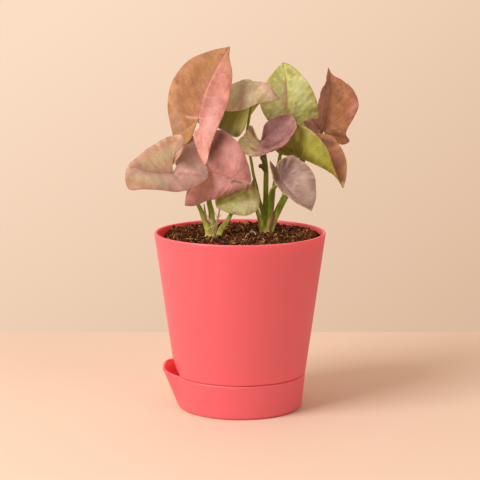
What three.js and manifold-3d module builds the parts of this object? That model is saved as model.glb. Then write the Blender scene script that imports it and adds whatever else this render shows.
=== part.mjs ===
// A young arrowhead plant (Syngonium): two crowns of arrow-shaped leaves in potting mix, in a tapered
// plastic pot that stands in a saucer with a pouring spout.
// Units are millimetres, +Z is up, +Y is the back, and the origin is the middle of the saucer's underside.
import * as THREE from "three";
import { mergeVertices } from "three/addons/utils/BufferGeometryUtils.js";
import Module from "manifold-3d";

const wasm = await Module();
wasm.setup();

// Driving dimensions of the pot, the saucer and the mix.
const GAP = 0.3; // between pieces that touch
const POT_HEIGHT = 119; // rim above the surface that the saucer stands on
const RIM_RADIUS = 57.5;
const SEAM_HEIGHT = 23.7; // the saucer's lip, with the pot's shoulder over it
const SEAM_RADIUS = 44.3;
const BASE_RADIUS = 41.9; // of the saucer, at the surface
const WALL = 2; // of the pot and of the saucer
const EDGE = 1; // rounding of the saucer's bottom edge
const SPOUT_AZIMUTH = 168; // degrees from +X
const SPOUT_HALF_ANGLE = 38;
const SPOUT_REACH = 7.9; // of the spout's lip past the round saucer
const SPOUT_RISE = 4.4; // of the spout's lip above the seam
const DENT_DEPTH = 1.7; // of the hollow in the pot's foot behind the spout
const DENT_TOP = 34; // height at which that hollow starts
const NECK_RADIUS = 41.4; // the pot's foot inside the saucer, at the top
const FOOT_RADIUS = 37.5; // and where it stands
const FLOOR_HEIGHT = 5; // underside of the pot's floor
const DRAIN_RADIUS = 3;
const DRAIN_CIRCLE = 22;
const DRAIN_COUNT = 6;
const MIX_DEPTH = 2.4; // of the mix below the rim
const MIX_SLUMP = 7; // extra depth where the mix has settled by the wall
const MIX_GRAIN = 0.8; // height of its lumps

// Driving dimensions of the plant.
const BLADE = 0.7; // thickness of a leaf blade
const RIB_DEPTH = 0.9; // of the midrib under the blade, at the stalk
const CROWN_DEPTH = 12; // of the crowns in the mix
const STALK = { foot: 2.4, middle: 1.4, top: 1.1 }; // radius of a leaf stalk, which sheathes its crown
const SHEATH = { foot: 2.8, top: 0.5 };
const STUB = { foot: 1.6, top: 1 };
const ROOT = { foot: 0.5, top: 0.4 };

const { lerp } = THREE.MathUtils;
const smooth = (x) => THREE.MathUtils.smoothstep(x, 0, 1);
const vector = (xyz) => new THREE.Vector3(...xyz);

const COLOURS = {
  coral: { color: 0xf0656a, roughness: 0.45 },
  mix: { color: 0x3a2418, roughness: 0.95 },
  stalk: { color: 0x6f8f3c, roughness: 0.5 },
  pink: { color: 0xd99084, roughness: 0.5 },
  green: { color: 0xaab45f, roughness: 0.5 },
  bronze: { color: 0xb57a55, roughness: 0.5 },
  mauve: { color: 0xb08a8c, roughness: 0.5 },
};

function mesh(name, geometry, finish) {
  const material = new THREE.MeshStandardMaterial({ ...COLOURS[finish], metalness: 0 });
  const made = new THREE.Mesh(geometry, material);
  made.name = name;
  return made;
}

// ---- Solids ----

function geometryOf(points, triangles) {
  const geometry = new THREE.BufferGeometry().setFromPoints(points);
  geometry.setIndex(triangles);
  geometry.computeVertexNormals();
  return geometry;
}

function manifoldOf(geometry) {
  const bare = geometry.clone();
  bare.deleteAttribute("normal");
  bare.deleteAttribute("uv");
  const merged = mergeVertices(bare, 1e-3);
  return new wasm.Manifold(
    new wasm.Mesh({
      numProp: 3,
      vertProperties: new Float32Array(merged.attributes.position.array),
      triVerts: new Uint32Array(merged.index.array),
    }),
  );
}

function geometryFrom(manifold) {
  const cut = manifold.getMesh();
  const points = [];
  for (let i = 0; i < cut.numVert; i++) {
    points.push(new THREE.Vector3().fromArray(cut.vertProperties, i * cut.numProp));
  }
  return geometryOf(points, Array.from(cut.triVerts));
}

const fuse = (solids) => solids.reduce((whole, piece) => whole.add(piece));

function postAt([x, y], radius, bottom, top, sides = 16) {
  const post = new THREE.CylinderGeometry(radius, radius, top - bottom, sides);
  post.rotateX(Math.PI / 2);
  post.translate(x, y, (bottom + top) / 2);
  return manifoldOf(post);
}

// A body turned about Z whose profile may change with the angle. profileAt(angle) gives [radius, height]
// pairs, from the axis round the outside and back to the axis.
function turned(profileAt, around) {
  const rings = [];
  for (let k = 0; k < around; k++) rings.push(profileAt((k / around) * 2 * Math.PI));
  const last = rings[0].length - 1;
  const points = [
    new THREE.Vector3(0, 0, rings[0][0][1]),
    new THREE.Vector3(0, 0, rings[0][last][1]),
  ];
  rings.forEach((profile, k) => {
    const angle = (k / around) * 2 * Math.PI;
    for (const [radius, height] of profile.slice(1, last)) {
      points.push(new THREE.Vector3(radius * Math.cos(angle), radius * Math.sin(angle), height));
    }
  });
  const at = (k, i) => 2 + (k % around) * (last - 1) + (i - 1);
  const triangles = [];
  for (let k = 0; k < around; k++) {
    triangles.push(0, at(k + 1, 1), at(k, 1));
    triangles.push(1, at(k, last - 1), at(k + 1, last - 1));
    for (let i = 1; i < last - 1; i++) {
      triangles.push(at(k, i), at(k + 1, i), at(k, i + 1));
      triangles.push(at(k + 1, i), at(k + 1, i + 1), at(k, i + 1));
    }
  }
  return geometryOf(points, triangles);
}

// A closed plate: the sheet offset by half the thickness to both sides, with a wall round its edge.
// Both faces are split into triangles alike. depths adds to the under side, point by point.
function plate(points, triangles, thickness, depths) {
  const normals = points.map(() => new THREE.Vector3());
  const edges = new Map();
  for (let i = 0; i < triangles.length; i += 3) {
    const corner = triangles.slice(i, i + 3);
    const [a, b, c] = corner.map((k) => points[k]);
    const normal = b.clone().sub(a).cross(c.clone().sub(a));
    corner.forEach((k, n) => {
      normals[k].add(normal);
      const next = corner[(n + 1) % 3];
      const key = `${Math.min(k, next)}-${Math.max(k, next)}`;
      edges.set(key, edges.has(key) ? null : [k, next]);
    });
  }
  normals.forEach((n) => n.normalize());
  const half = thickness / 2;
  const count = points.length;
  const both = [
    ...points.map((p, k) => p.clone().addScaledVector(normals[k], half)),
    ...points.map((p, k) => p.clone().addScaledVector(normals[k], -half - depths[k])),
  ];
  const faces = [...triangles];
  for (let i = 0; i < triangles.length; i += 3) {
    faces.push(triangles[i] + count, triangles[i + 2] + count, triangles[i + 1] + count);
  }
  for (const edge of edges.values()) {
    if (!edge) continue;
    const [a, b] = edge;
    faces.push(a, a + count, b, b, a + count, b + count);
  }
  return geometryOf(both, faces);
}

// A round stem along a curve with domed ends. radiusAt(t) is its radius from the foot (0) to the top (1).
function stem(route, radiusAt, steps, sides) {
  const curve = new THREE.CatmullRomCurve3(route.map(vector));
  const frames = curve.computeFrenetFrames(steps);
  const spine = curve.getSpacedPoints(steps);
  const points = [];
  for (let i = 0; i <= steps; i++) {
    for (let k = 0; k < sides; k++) {
      const angle = (k / sides) * 2 * Math.PI;
      const radius = radiusAt(i / steps);
      points.push(
        spine[i].clone()
          .addScaledVector(frames.normals[i], radius * Math.cos(angle))
          .addScaledVector(frames.binormals[i], radius * Math.sin(angle)),
      );
    }
  }
  const domes = [[0, -radiusAt(0) / 2], [steps, radiusAt(1) / 2]];
  const [foot, top] = domes.map(([i, out]) =>
    points.push(spine[i].clone().addScaledVector(frames.tangents[i], out)) - 1);
  const at = (i, k) => i * sides + (k % sides);
  const triangles = [];
  for (let k = 0; k < sides; k++) {
    triangles.push(foot, at(0, k + 1), at(0, k), top, at(steps, k), at(steps, k + 1));
    for (let i = 0; i < steps; i++) {
      triangles.push(at(i, k), at(i, k + 1), at(i + 1, k));
      triangles.push(at(i, k + 1), at(i + 1, k + 1), at(i + 1, k));
    }
  }
  return geometryOf(points, triangles);
}

// ---- Pot, saucer and mix ----

const AROUND = 72; // sides of the round pieces
const SLOPE = (RIM_RADIUS - SEAM_RADIUS) / (POT_HEIGHT - SEAM_HEIGHT); // of the pot's wall
const potRadius = (z) => RIM_RADIUS - SLOPE * (POT_HEIGHT - z);
const SAUCER_FLOOR = WALL + GAP; // where the pot's foot ring stands

// 1 on the spout's centre line, falling smoothly to 0 at its sides over the last `flank` degrees.
function spoutShare(angle, flank) {
  const turn = THREE.MathUtils.radToDeg(angle) - SPOUT_AZIMUTH + 180;
  const off = Math.abs(THREE.MathUtils.euclideanModulo(turn, 360) - 180);
  return smooth((SPOUT_HALF_ANGLE - off) / flank);
}

function potProfile(angle) {
  const dent = DENT_DEPTH * spoutShare(angle, 8);
  const sink = (z) => dent * THREE.MathUtils.clamp((DENT_TOP - z) / (DENT_TOP - SEAM_HEIGHT), 0, 1);
  const outer = (z) => [potRadius(z) - sink(z), z];
  const inner = (z) => [potRadius(z) - sink(z) - WALL, z];
  return [
    [0, FLOOR_HEIGHT],
    [FOOT_RADIUS - 3, FLOOR_HEIGHT],
    [FOOT_RADIUS - 2.4, SAUCER_FLOOR],
    [FOOT_RADIUS - 0.6, SAUCER_FLOOR],
    [FOOT_RADIUS, SAUCER_FLOOR + 0.8],
    [NECK_RADIUS, SEAM_HEIGHT],
    [potRadius(SEAM_HEIGHT) - dent - 0.4, SEAM_HEIGHT],
    [potRadius(SEAM_HEIGHT) - dent, SEAM_HEIGHT + 0.4],
    outer(DENT_TOP - 3),
    outer(DENT_TOP + 1),
    outer(POT_HEIGHT - 1.1),
    [RIM_RADIUS - 0.3, POT_HEIGHT - 0.3],
    [RIM_RADIUS - WALL / 2, POT_HEIGHT],
    [RIM_RADIUS - WALL + 0.3, POT_HEIGHT - 0.3],
    inner(POT_HEIGHT - 1.1),
    inner(DENT_TOP + 1),
    inner(DENT_TOP - 3),
    [NECK_RADIUS - WALL, SEAM_HEIGHT - 1.5],
    [FOOT_RADIUS - WALL - 0.6, FLOOR_HEIGHT + WALL],
    [0, FLOOR_HEIGHT + WALL],
  ];
}
const HOLLOW = [14, 19]; // the part of the profile that is the pot's inner wall

function pot() {
  const drains = [];
  for (let k = 0; k < DRAIN_COUNT; k++) {
    const angle = (k / DRAIN_COUNT) * 2 * Math.PI;
    const middle = [DRAIN_CIRCLE * Math.cos(angle), DRAIN_CIRCLE * Math.sin(angle)];
    drains.push(postAt(middle, DRAIN_RADIUS, FLOOR_HEIGHT - WALL, FLOOR_HEIGHT + 2 * WALL, 12));
  }
  return geometryFrom(manifoldOf(turned(potProfile, AROUND)).subtract(fuse(drains)));
}

function saucerProfile(angle) {
  const reach = SPOUT_REACH * spoutShare(angle, 22);
  const lip = SEAM_HEIGHT - GAP + SPOUT_RISE * spoutShare(angle, 38);
  const radius = (z) => lerp(BASE_RADIUS, SEAM_RADIUS, z / SEAM_HEIGHT) + (reach * z) / lip;
  return [
    [0, 0],
    [BASE_RADIUS - EDGE, 0],
    [radius(EDGE * 0.3) - EDGE * 0.3, EDGE * 0.3],
    [radius(EDGE), EDGE],
    [radius(lip / 2), lip / 2],
    [radius(lip - 0.5), lip - 0.5],
    [radius(lip) - 0.5, lip],
    [radius(lip) - WALL + 0.5, lip],
    [radius(lip - 0.6) - WALL, lip - 0.6],
    [radius(lip / 2) - WALL, lip / 2],
    [radius(WALL) - WALL, WALL],
    [0, WALL],
  ];
}

// Radius of the pot's hollow at a height and angle.
function hollowRadius(angle, z) {
  const wall = potProfile(angle).slice(...HOLLOW).reverse();
  const above = Math.max(1, wall.findIndex(([, height]) => height >= z));
  const [[r0, z0], [r1, z1]] = [wall[above - 1], wall[above]];
  return THREE.MathUtils.mapLinear(z, z0, z1, r0, r1);
}

const MIX_SURFACE = POT_HEIGHT - MIX_DEPTH;
const MIX_RINGS = 10;

// Height of the mix: almost level, lower by the wall at the front left, with lumps of coir and bark that
// sink away towards the crowns.
function mixHeight(x, y) {
  const settled = smooth((-0.94 * x - 0.34 * y - 36) / 18);
  const across = Math.sin(x * 0.93 + 1.3 * Math.sin(y * 0.61));
  const along = Math.sin(y * 1.07 + 1.1 * Math.sin(x * 0.57));
  const clear = crownFeet().map(([footX, footY, radius]) => Math.hypot(x - footX, y - footY) - radius);
  const open = smooth(Math.min(...clear) / 4);
  return MIX_SURFACE - MIX_SLUMP * settled + MIX_GRAIN * ((across * along + 1) * open - 1);
}

function mixProfile(angle) {
  const under = FLOOR_HEIGHT + WALL + GAP;
  const wall = (z) => [hollowRadius(angle, z) - GAP, z];
  const edge = hollowRadius(angle, POT_HEIGHT - MIX_DEPTH - MIX_SLUMP) - GAP;
  const top = [];
  for (let k = MIX_RINGS; k >= 1; k--) {
    const radius = (edge * k) / MIX_RINGS;
    top.push([radius, mixHeight(radius * Math.cos(angle), radius * Math.sin(angle))]);
  }
  return [
    [0, under],
    [wall(under)[0] - 0.4, under],
    wall(SEAM_HEIGHT - 2),
    wall(DENT_TOP - 3),
    wall(DENT_TOP + 1),
    ...top,
    [0, mixHeight(0, 0)],
  ];
}

function mix() {
  const bottom = MIX_SURFACE - CROWN_DEPTH - GAP;
  const holes = crownFeet().map(([x, y, radius]) =>
    postAt([x, y], radius + 2 * GAP, bottom, MIX_SURFACE + CROWN_DEPTH));
  return geometryFrom(manifoldOf(turned(mixProfile, AROUND)).subtract(fuse(holes)));
}

// ---- Stalks ----

// Each crown: its feet in the mix (x, y and radius), the routes of its leaf stalks from the feet to the
// blades, its sheaths (withered, or a leaf still rolled up), a withered stub and its aerial roots.
const CROWNS = {
  stems_left: {
    feet: [[-19.5, -7, 4.4], [-13.5, -6, 2.5]],
    stalks: [
      {
        girth: 1,
        route: [
          [-20, -7, 112.5], [-21.5, -7.5, 122], [-24, -6.5, 128.5], [-26, -5, 134], [-29, -4, 139.5],
          [-35, -3.5, 148], [-41, -12, 155], [-44, -20.5, 158],
        ],
      },
      {
        girth: 1.1,
        route: [
          [-19.5, -6.5, 112.5], [-19, -4, 132.5], [-20.5, -2, 138.5], [-21.5, 1.5, 153.5],
          [-22.5, 2.5, 173.5], [-23.5, 4.5, 184], [-25.5, 3, 190.5], [-27, -1, 193.2],
        ],
      },
      {
        girth: 0.85,
        route: [
          [-13.5, -6, 112.5], [-11.5, -5, 121.5], [-8.5, -3, 126.5], [-5.5, 0, 132], [-2.5, 4, 141.5],
          [-2.5, 4, 149], [-3.5, -6.5, 155],
        ],
      },
    ],
    sheaths: [
      [[-20, -7, 112.5], [-22.5, -7.5, 129], [-24, -5.5, 138.5]],
      [[-18.5, -7, 112.5], [-15, -6, 127.5], [-13.5, -4.5, 135]],
    ],
    stubs: [],
    roots: [
      [[-18.5, -10.5, 119.5], [-17, -12, 126], [-20, -12, 129], [-23, -8, 132.5]],
      [[-17, -10, 121], [-15, -11, 128.5], [-12.5, -9, 132]],
      [[-22, -10, 121], [-19, -12, 124], [-16, -11.5, 125], [-13.5, -7.5, 126.5]],
    ],
  },
  stems_right: {
    feet: [[18, 13, 5]],
    stalks: [
      {
        girth: 1,
        route: [[17, 12.5, 112.5], [12.5, 9.5, 128.5], [9.5, 8, 139], [7, 7.5, 148]],
      },
      {
        girth: 0.72,
        route: [
          [17.5, 13, 112.5], [15, 13, 131], [12.5, 12.5, 140], [11, 12, 148], [9, 12.5, 156],
          [7.5, 13, 165], [4.5, 13.5, 180.5], [6.5, 14, 196], [8, 13.5, 208], [9, 15, 214],
        ],
      },
      {
        girth: 1.1,
        route: [
          [18, 13, 112.5], [17.5, 14, 131.5], [17.5, 14, 148.5], [17.5, 14, 158.5], [16.5, 14, 167],
          [15.5, 14, 172.5], [14, 14, 175],
        ],
      },
      {
        girth: 0.95,
        route: [
          [18.5, 13.5, 112.5], [21.5, 15.5, 133.5], [23.5, 18, 150], [27, 22, 166.5], [29, 27, 178.5],
          [31.5, 32, 188.5],
        ],
      },
      {
        girth: 1,
        route: [
          [19, 12.5, 112.5], [22.5, 11.5, 123.5], [25, 11.5, 132], [28.5, 11, 139.5], [31, 11, 145],
          [36.5, 12.5, 156], [40, 13.5, 163.5],
        ],
      },
      {
        girth: 1,
        route: [
          [19, 13, 112.5], [22, 14, 122], [25.5, 16, 129], [28.5, 17.5, 134.5], [31.5, 18, 140],
          [34, 19, 145], [41.5, 23, 161], [49.5, 28, 173.5], [55, 31.5, 180.5],
        ],
      },
      {
        girth: 1,
        route: [
          [18.5, 12, 112.5], [20, 9, 130], [20.5, 7, 138], [20.5, 4.5, 143], [21.5, 2, 147],
          [23.5, 1.5, 149], [25.5, 1, 151],
        ],
      },
    ],
    sheaths: [
      [[17, 12, 112.5], [13.5, 8.5, 125], [11.5, 7, 132]],
      [[18.5, 12, 112.5], [21, 9, 124.5], [21.5, 8.5, 132.5], [21, 8, 140]],
    ],
    stubs: [[[17.5, 14, 160], [15, 12.5, 162], [12.5, 11.5, 162]]],
    roots: [],
  },
};

const crownFeet = () => Object.values(CROWNS).flatMap((crown) => crown.feet);

function foot([x, y, radius]) {
  const dome = new THREE.SphereGeometry(radius, 16, 8);
  dome.scale(1, 1, 1.5);
  dome.translate(x, y, MIX_SURFACE);
  return postAt([x, y], radius, MIX_SURFACE - CROWN_DEPTH, MIX_SURFACE).add(manifoldOf(dome));
}

function stalk({ girth, route }) {
  const radiusAt = (t) =>
    girth * lerp(lerp(STALK.foot, STALK.middle, smooth(t / 0.45)), STALK.top, t * t);
  return manifoldOf(stem(route, radiusAt, 14, 8));
}

const tapered = (size) => (route) => manifoldOf(stem(route, (t) => lerp(size.foot, size.top, t), 6, 8));

function stems({ feet, stalks, sheaths, stubs, roots }) {
  return geometryFrom(fuse([
    ...feet.map(foot),
    ...stalks.map(stalk),
    ...sheaths.map(tapered(SHEATH)),
    ...stubs.map(tapered(STUB)),
    ...roots.map(tapered(ROOT)),
  ]));
}

// ---- Leaves ----

const ROWS = 16; // along the edge, from the back lobe to the tip
const ACROSS = [0, 0.08, 0.4, 0.72, 1]; // places of the columns between midrib and edge
const FAN = 0.5; // share of the edge whose rows all start at the leaf stalk

// A blade stretched between its midrib and its two edges, each a smooth curve that ends at the tip.
// camber lifts the middle of the left and of the right half, in millimetres, towards the upper side.
function blade({ rib, left, right, camber }) {
  const ribCurve = new THREE.CatmullRomCurve3(rib.map(vector));
  const points = [];
  const depths = [];
  const known = new Map();
  const corner = (point, depth) => {
    const key = point.toArray().map((v) => Math.round(v * 1000)).join(" ");
    if (!known.has(key)) {
      known.set(key, points.push(point) - 1);
      depths.push(depth);
    }
    return known.get(key);
  };
  const triangles = [];
  const add = (a, b, c) => {
    if (a !== b && b !== c && c !== a) triangles.push(a, b, c);
  };
  [left, right].forEach((edge, side) => {
    const edgeCurve = new THREE.CatmullRomCurve3([...edge, rib.at(-1)].map(vector));
    const rows = [];
    for (let i = 0; i <= ROWS; i++) {
      const t = i / ROWS;
      const outer = edgeCurve.getPointAt(t);
      const inner = ribCurve.getPointAt(Math.max(0, (t - FAN) / (1 - FAN)));
      const across = outer.clone().sub(inner);
      const lift = edgeCurve.getTangentAt(t).cross(across).normalize();
      lift.multiplyScalar(camber[side] * (side === 0 ? 4 : -4) * Math.sin(Math.PI * t));
      rows.push(ACROSS.map((v, j) => {
        const point = inner.clone().addScaledVector(across, v).addScaledVector(lift, v * (1 - v));
        return corner(point, j === 0 ? RIB_DEPTH * (1 - 0.8 * t) : 0);
      }));
    }
    for (let i = 0; i < ROWS; i++) {
      for (let j = 0; j < ACROSS.length - 1; j++) {
        const [a, b, c, d] = [rows[i][j], rows[i][j + 1], rows[i + 1][j], rows[i + 1][j + 1]];
        if (side === 0) {
          add(a, c, b);
          add(b, c, d);
        } else {
          add(a, b, c);
          add(b, d, c);
        }
      }
    }
  });
  return plate(points, triangles, BLADE, depths);
}

// Each leaf's midrib from the stalk to the tip, and its left and right edges from the notch between the
// back lobes, round the lobe and up to the last point before the tip, as seen on the upper side.
const LEAVES = {
  leaf_tall: {
    finish: "bronze",
    camber: [1, 1],
    rib: [[-27.5, -4, 194.5], [-24.5, -3, 209], [-20, -1, 219.5], [-14, 1, 230.5], [-6.5, 3, 242]],
    left: [
      [-30.5, -7, 186.5], [-32, -9, 182.5], [-35, -11, 179], [-39, -11.5, 178], [-43.5, -11, 183.5],
      [-46, -11, 193.5], [-47.5, -11, 205], [-44, -9, 220.5], [-34, -6, 233], [-20.5, -1, 239],
    ],
    right: [
      [-30, -8, 186.5], [-30.5, -11, 183], [-29, -14.5, 178], [-26, -19, 171], [-22.5, -23, 166],
      [-18.5, -16.5, 180], [-12, -10.5, 195], [-7, -6, 209], [-5, -2, 224.5], [-7, 2, 235],
    ],
  },
  leaf_left: {
    finish: "mauve",
    camber: [2, 2],
    rib: [
      [-45, -24, 160], [-53.5, -29, 161.5], [-60.5, -33, 164], [-67, -36.5, 166.5],
      [-73.5, -38.5, 164.5],
    ],
    left: [
      [-42.5, -19, 166.5], [-40, -14, 172.5], [-35.5, -8.5, 180], [-32.5, -5.5, 183.5],
      [-28.5, -5, 182], [-25, -7, 176], [-23, -11, 167.5], [-21, -17, 158.5], [-24, -21, 154.5],
      [-34.5, -26, 150.5], [-41, -29, 149.5], [-51.5, -35, 151.5], [-62.5, -39, 152.5],
      [-71, -40, 152.5], [-73.5, -40, 158],
    ],
    right: [
      [-43.5, -22, 166.5], [-41, -22, 169.5], [-38, -21, 174], [-36.5, -19, 179.5], [-37, -17, 184.5],
      [-40.5, -17, 186], [-52, -20, 182], [-63, -26, 175], [-71.5, -35, 168],
    ],
  },
  leaf_salmon: {
    finish: "pink",
    camber: [2, 3],
    rib: [
      [-4, -11.5, 156], [-10.5, -13, 160], [-19, -12, 162], [-27, -10, 157], [-33, -9.5, 148],
      [-36.5, -11, 138],
    ],
    left: [
      [2, -9.5, 154.5], [6.5, -7.5, 153], [5.5, -8, 149], [-1.5, -9, 147.5], [-13, -11, 143.5],
      [-23, -10, 140.5], [-31, -10, 137.5],
    ],
    right: [
      [2, -8, 153.5], [7, -5, 152.5], [6.5, -5, 161], [2.5, -5, 173], [-3.5, -4, 181.5],
      [-11, -2.5, 187], [-22, -1.5, 184], [-29, -2, 169.5], [-34, -6, 151],
    ],
  },
  leaf_cream: {
    finish: "green",
    camber: [2, 2],
    rib: [[6.5, 5, 149.5], [0, -1, 144.5], [-8, -5, 141], [-16, -6, 137.5]],
    left: [
      [9.5, 8, 154.5], [11.5, 8, 146.5], [13.5, 6, 140.5], [13, 3.5, 136.5], [10.5, 0.5, 132.5],
      [6, -2, 130.5], [0, -4.5, 130.5], [-6.5, -6, 132], [-12.5, -7, 134.5], [-15.5, -7, 136],
    ],
    right: [
      [7, 6, 154], [2.5, 3.5, 151], [-3.5, 0, 148.5], [-10, -3.5, 145], [-16, -5, 141.5],
      [-16.5, -5.5, 139.5],
    ],
  },
  leaf_arch: {
    finish: "green",
    camber: [3, 3],
    rib: [[9.5, 16, 220], [16, 14, 220], [21.5, 11, 218], [25.5, 9, 213], [27, 8, 206]],
    left: [
      [1.5, 21, 213.5], [-11, 22, 201], [-18, 22, 190.5], [-12, 21, 184.5], [-1.5, 19, 180.5],
      [6, 18, 193], [15, 16, 205], [22, 12, 208],
    ],
    right: [
      [1.5, 13, 219.5], [-9.5, 10, 214], [-15.5, 7, 205.5], [-10.5, 6, 199.5], [1.5, 4, 200],
      [11.5, 4, 204], [21.5, 6, 206],
    ],
  },
  leaf_green: {
    finish: "green",
    camber: [1, 1],
    rib: [[31.5, 30, 191.5], [32, 31, 202.5], [31.5, 32, 214.5], [29.5, 36, 230]],
    left: [
      [29.5, 29, 187.5], [21.5, 26, 188.5], [14, 24, 200.5], [13.5, 24, 210.5], [19.5, 27, 219.5],
      [26, 33, 227],
    ],
    right: [
      [34.5, 30, 187], [46.5, 30, 182], [53, 31, 188], [52.5, 31, 202.5], [48, 31, 213.5],
      [40, 33, 223.5], [33.5, 35.5, 228.5],
    ],
  },
  leaf_plum: {
    finish: "mauve",
    camber: [-4, -2],
    rib: [[13.5, 12, 177], [12, 4, 174.5], [10, -3, 172], [8, -8, 170.5]],
    left: [
      [15.5, 14, 181.5], [16.5, 16, 189], [25, 17, 194.5], [34, 14, 196], [37.5, 8, 190.5],
      [34.5, 2, 182.5], [29, -1.5, 177.5], [22, -4, 174.5], [14, -7, 171],
    ],
    right: [
      [10, 11, 180.5], [8.5, 9, 187.5], [6.5, 8, 189.5], [4, 6, 184.5], [-0.5, 4, 180.5], [0.5, 1, 175],
      [4.5, -4, 171],
    ],
  },
  leaf_folded: {
    finish: "green",
    camber: [-1, -1],
    rib: [[41, 13, 166.5], [49, 10, 163], [57.5, 7, 159], [65, 3, 153.5], [69, 1, 148]],
    left: [
      [42, 20, 172.5], [46, 23, 180], [53.5, 24, 182.5], [61.5, 22, 181], [68, 17, 174],
      [71.5, 10, 164.5], [71, 5, 154.5],
    ],
    right: [
      [33.5, 16, 168], [25, 21, 170], [23, 23, 176.5], [32, 21, 185], [39, 16, 189], [49.5, 8, 184.5],
      [58.5, 2, 173], [64, 0, 157.5],
    ],
  },
  leaf_bronze: {
    finish: "bronze",
    camber: [1, 1],
    rib: [[56, 30, 183.5], [58.5, 29, 196.5], [60.5, 29, 206], [61, 31, 215.5], [60, 34, 226.5]],
    left: [
      [52, 28, 181], [43, 24, 190.5], [48, 24, 192.5], [52.5, 23, 193], [52.5, 20, 202.5],
      [54, 20, 210], [57.5, 25, 216.5], [59, 31, 222.5],
    ],
    right: [
      [64, 29, 180.5], [69.5, 27, 174.5], [74.5, 26, 177], [72, 27, 182], [77.5, 28, 193],
      [80.5, 28, 202], [76.5, 30, 212], [69.5, 32, 218], [63, 33, 221.5],
    ],
  },
  leaf_mauve: {
    finish: "mauve",
    camber: [1, 1],
    rib: [[26.5, -2, 153], [32, -8, 147.5], [39.5, -11.5, 140.5], [47.5, -11, 134.5]],
    left: [
      [24.5, -2.5, 164.5], [26.5, -0.5, 167], [30.5, 1, 169], [35, 1, 170], [40, 0, 167],
      [44.5, -1.5, 164], [48, -3.5, 160], [50, -5, 154.5], [50.5, -7, 146.5], [50, -9, 141],
    ],
    right: [
      [24, -5.5, 163], [21.5, -6.5, 164.5], [19.5, -7, 167.5], [20, -8.5, 162.5], [21, -9.5, 158],
      [23, -10, 153], [26, -11, 148.5], [31, -12, 144.5], [37, -13, 140], [43.5, -12.5, 136.5],
    ],
  },
};

// ---- Assembly ----

const plant = new THREE.Group();
plant.add(mesh("saucer", turned(saucerProfile, AROUND), "coral"));
plant.add(mesh("pot", pot(), "coral"));
plant.add(mesh("potting_mix", mix(), "mix"));
for (const [name, crown] of Object.entries(CROWNS)) plant.add(mesh(name, stems(crown), "stalk"));
for (const [name, leaf] of Object.entries(LEAVES)) plant.add(mesh(name, blade(leaf), leaf.finish));

export default plant;
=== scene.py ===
"""A young arrowhead plant (Syngonium) in potting mix, in a coral plastic pot that stands in a saucer with a
pouring spout. The pieces are worked out in millimetres and put into their meshes in metres."""

import math

import bpy
import numpy as np
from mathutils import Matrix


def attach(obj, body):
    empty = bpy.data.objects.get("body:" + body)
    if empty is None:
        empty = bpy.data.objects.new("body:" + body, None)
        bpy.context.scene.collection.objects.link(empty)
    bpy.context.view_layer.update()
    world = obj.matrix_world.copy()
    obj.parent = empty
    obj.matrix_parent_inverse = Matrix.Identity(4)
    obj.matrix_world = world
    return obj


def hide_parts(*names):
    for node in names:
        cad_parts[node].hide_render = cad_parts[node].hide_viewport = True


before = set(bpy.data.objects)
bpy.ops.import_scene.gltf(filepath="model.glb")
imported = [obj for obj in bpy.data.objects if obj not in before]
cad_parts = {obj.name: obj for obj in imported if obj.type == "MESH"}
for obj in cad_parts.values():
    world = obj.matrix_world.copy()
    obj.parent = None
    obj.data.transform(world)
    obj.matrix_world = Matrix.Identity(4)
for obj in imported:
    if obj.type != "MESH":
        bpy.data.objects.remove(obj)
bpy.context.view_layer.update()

# ---- Camera ----
# A camera with a long lens, a little over a metre in front of the pot, looking slightly down on it.

FRAME_PIXELS = 480
FOCAL_PIXELS = 1613.5
SENSOR_WIDTH = 36
CAMERA_DISTANCE = 1067
CAMERA_HEIGHT = 287.9
CAMERA_PITCH = 9.30  # degrees below level
MM = 0.001

camera_data = bpy.data.cameras.new("camera")
camera_data.sensor_width = SENSOR_WIDTH
camera_data.lens = SENSOR_WIDTH * FOCAL_PIXELS / FRAME_PIXELS
camera = bpy.data.objects.new("camera", camera_data)
camera.location = (0, -CAMERA_DISTANCE * MM, CAMERA_HEIGHT * MM)
camera.rotation_euler = (math.radians(90 - CAMERA_PITCH), 0, 0)
bpy.context.collection.objects.link(camera)
bpy.context.scene.camera = camera

# ---- Table and light ----
# A pale peach table top that ends a hand's breadth behind the pot, in a warm pale room, with one large
# soft lamp at the front left and a weak one at the right.

TABLE_BACK = 225
TABLE_REACH = 2500


def paint(red, green, blue):
    """A colour from its screen values of 0 to 255, as the linear values that a shader takes."""
    screen = np.array([red, green, blue]) / 255
    return tuple(np.where(screen < 0.04045, screen / 12.92, ((screen + 0.055) / 1.055) ** 2.4))


def new_material(name, **settings):
    """A material with one Principled shader; each setting goes straight onto the shader's own socket."""
    material = bpy.data.materials.new(name)
    material.use_nodes = True
    shader = material.node_tree.nodes["Principled BSDF"]
    for socket, value in settings.items():
        shader.inputs[socket.replace("_", " ")].default_value = value
    return material, shader


def new_node(tree, kind, **settings):
    """A shader node of this kind; a setting is a socket's value, or one of the node's own properties."""
    made = tree.nodes.new(kind)
    for key, value in settings.items():
        if hasattr(made, key):
            setattr(made, key, value)
        else:
            made.inputs[key.replace("_", " ")].default_value = value
    return made


def ramp(tree, *stops):
    """A colour ramp: each stop is a place from 0 to 1 and the colour there, with even blends in between."""
    made = new_node(tree, "ShaderNodeValToRGB")
    elements = made.color_ramp.elements
    for place, _ in stops[1:-1]:
        elements.new(place)
    for element, (place, colour) in zip(elements, stops):
        element.position = place
        element.color = (*colour, 1)
    return made


def linked(tree, *links):
    """Makes links, each given as a node, its output, the next node and its input."""
    for source, output, target, socket in links:
        tree.links.new(source.outputs[output], target.inputs[socket])


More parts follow.
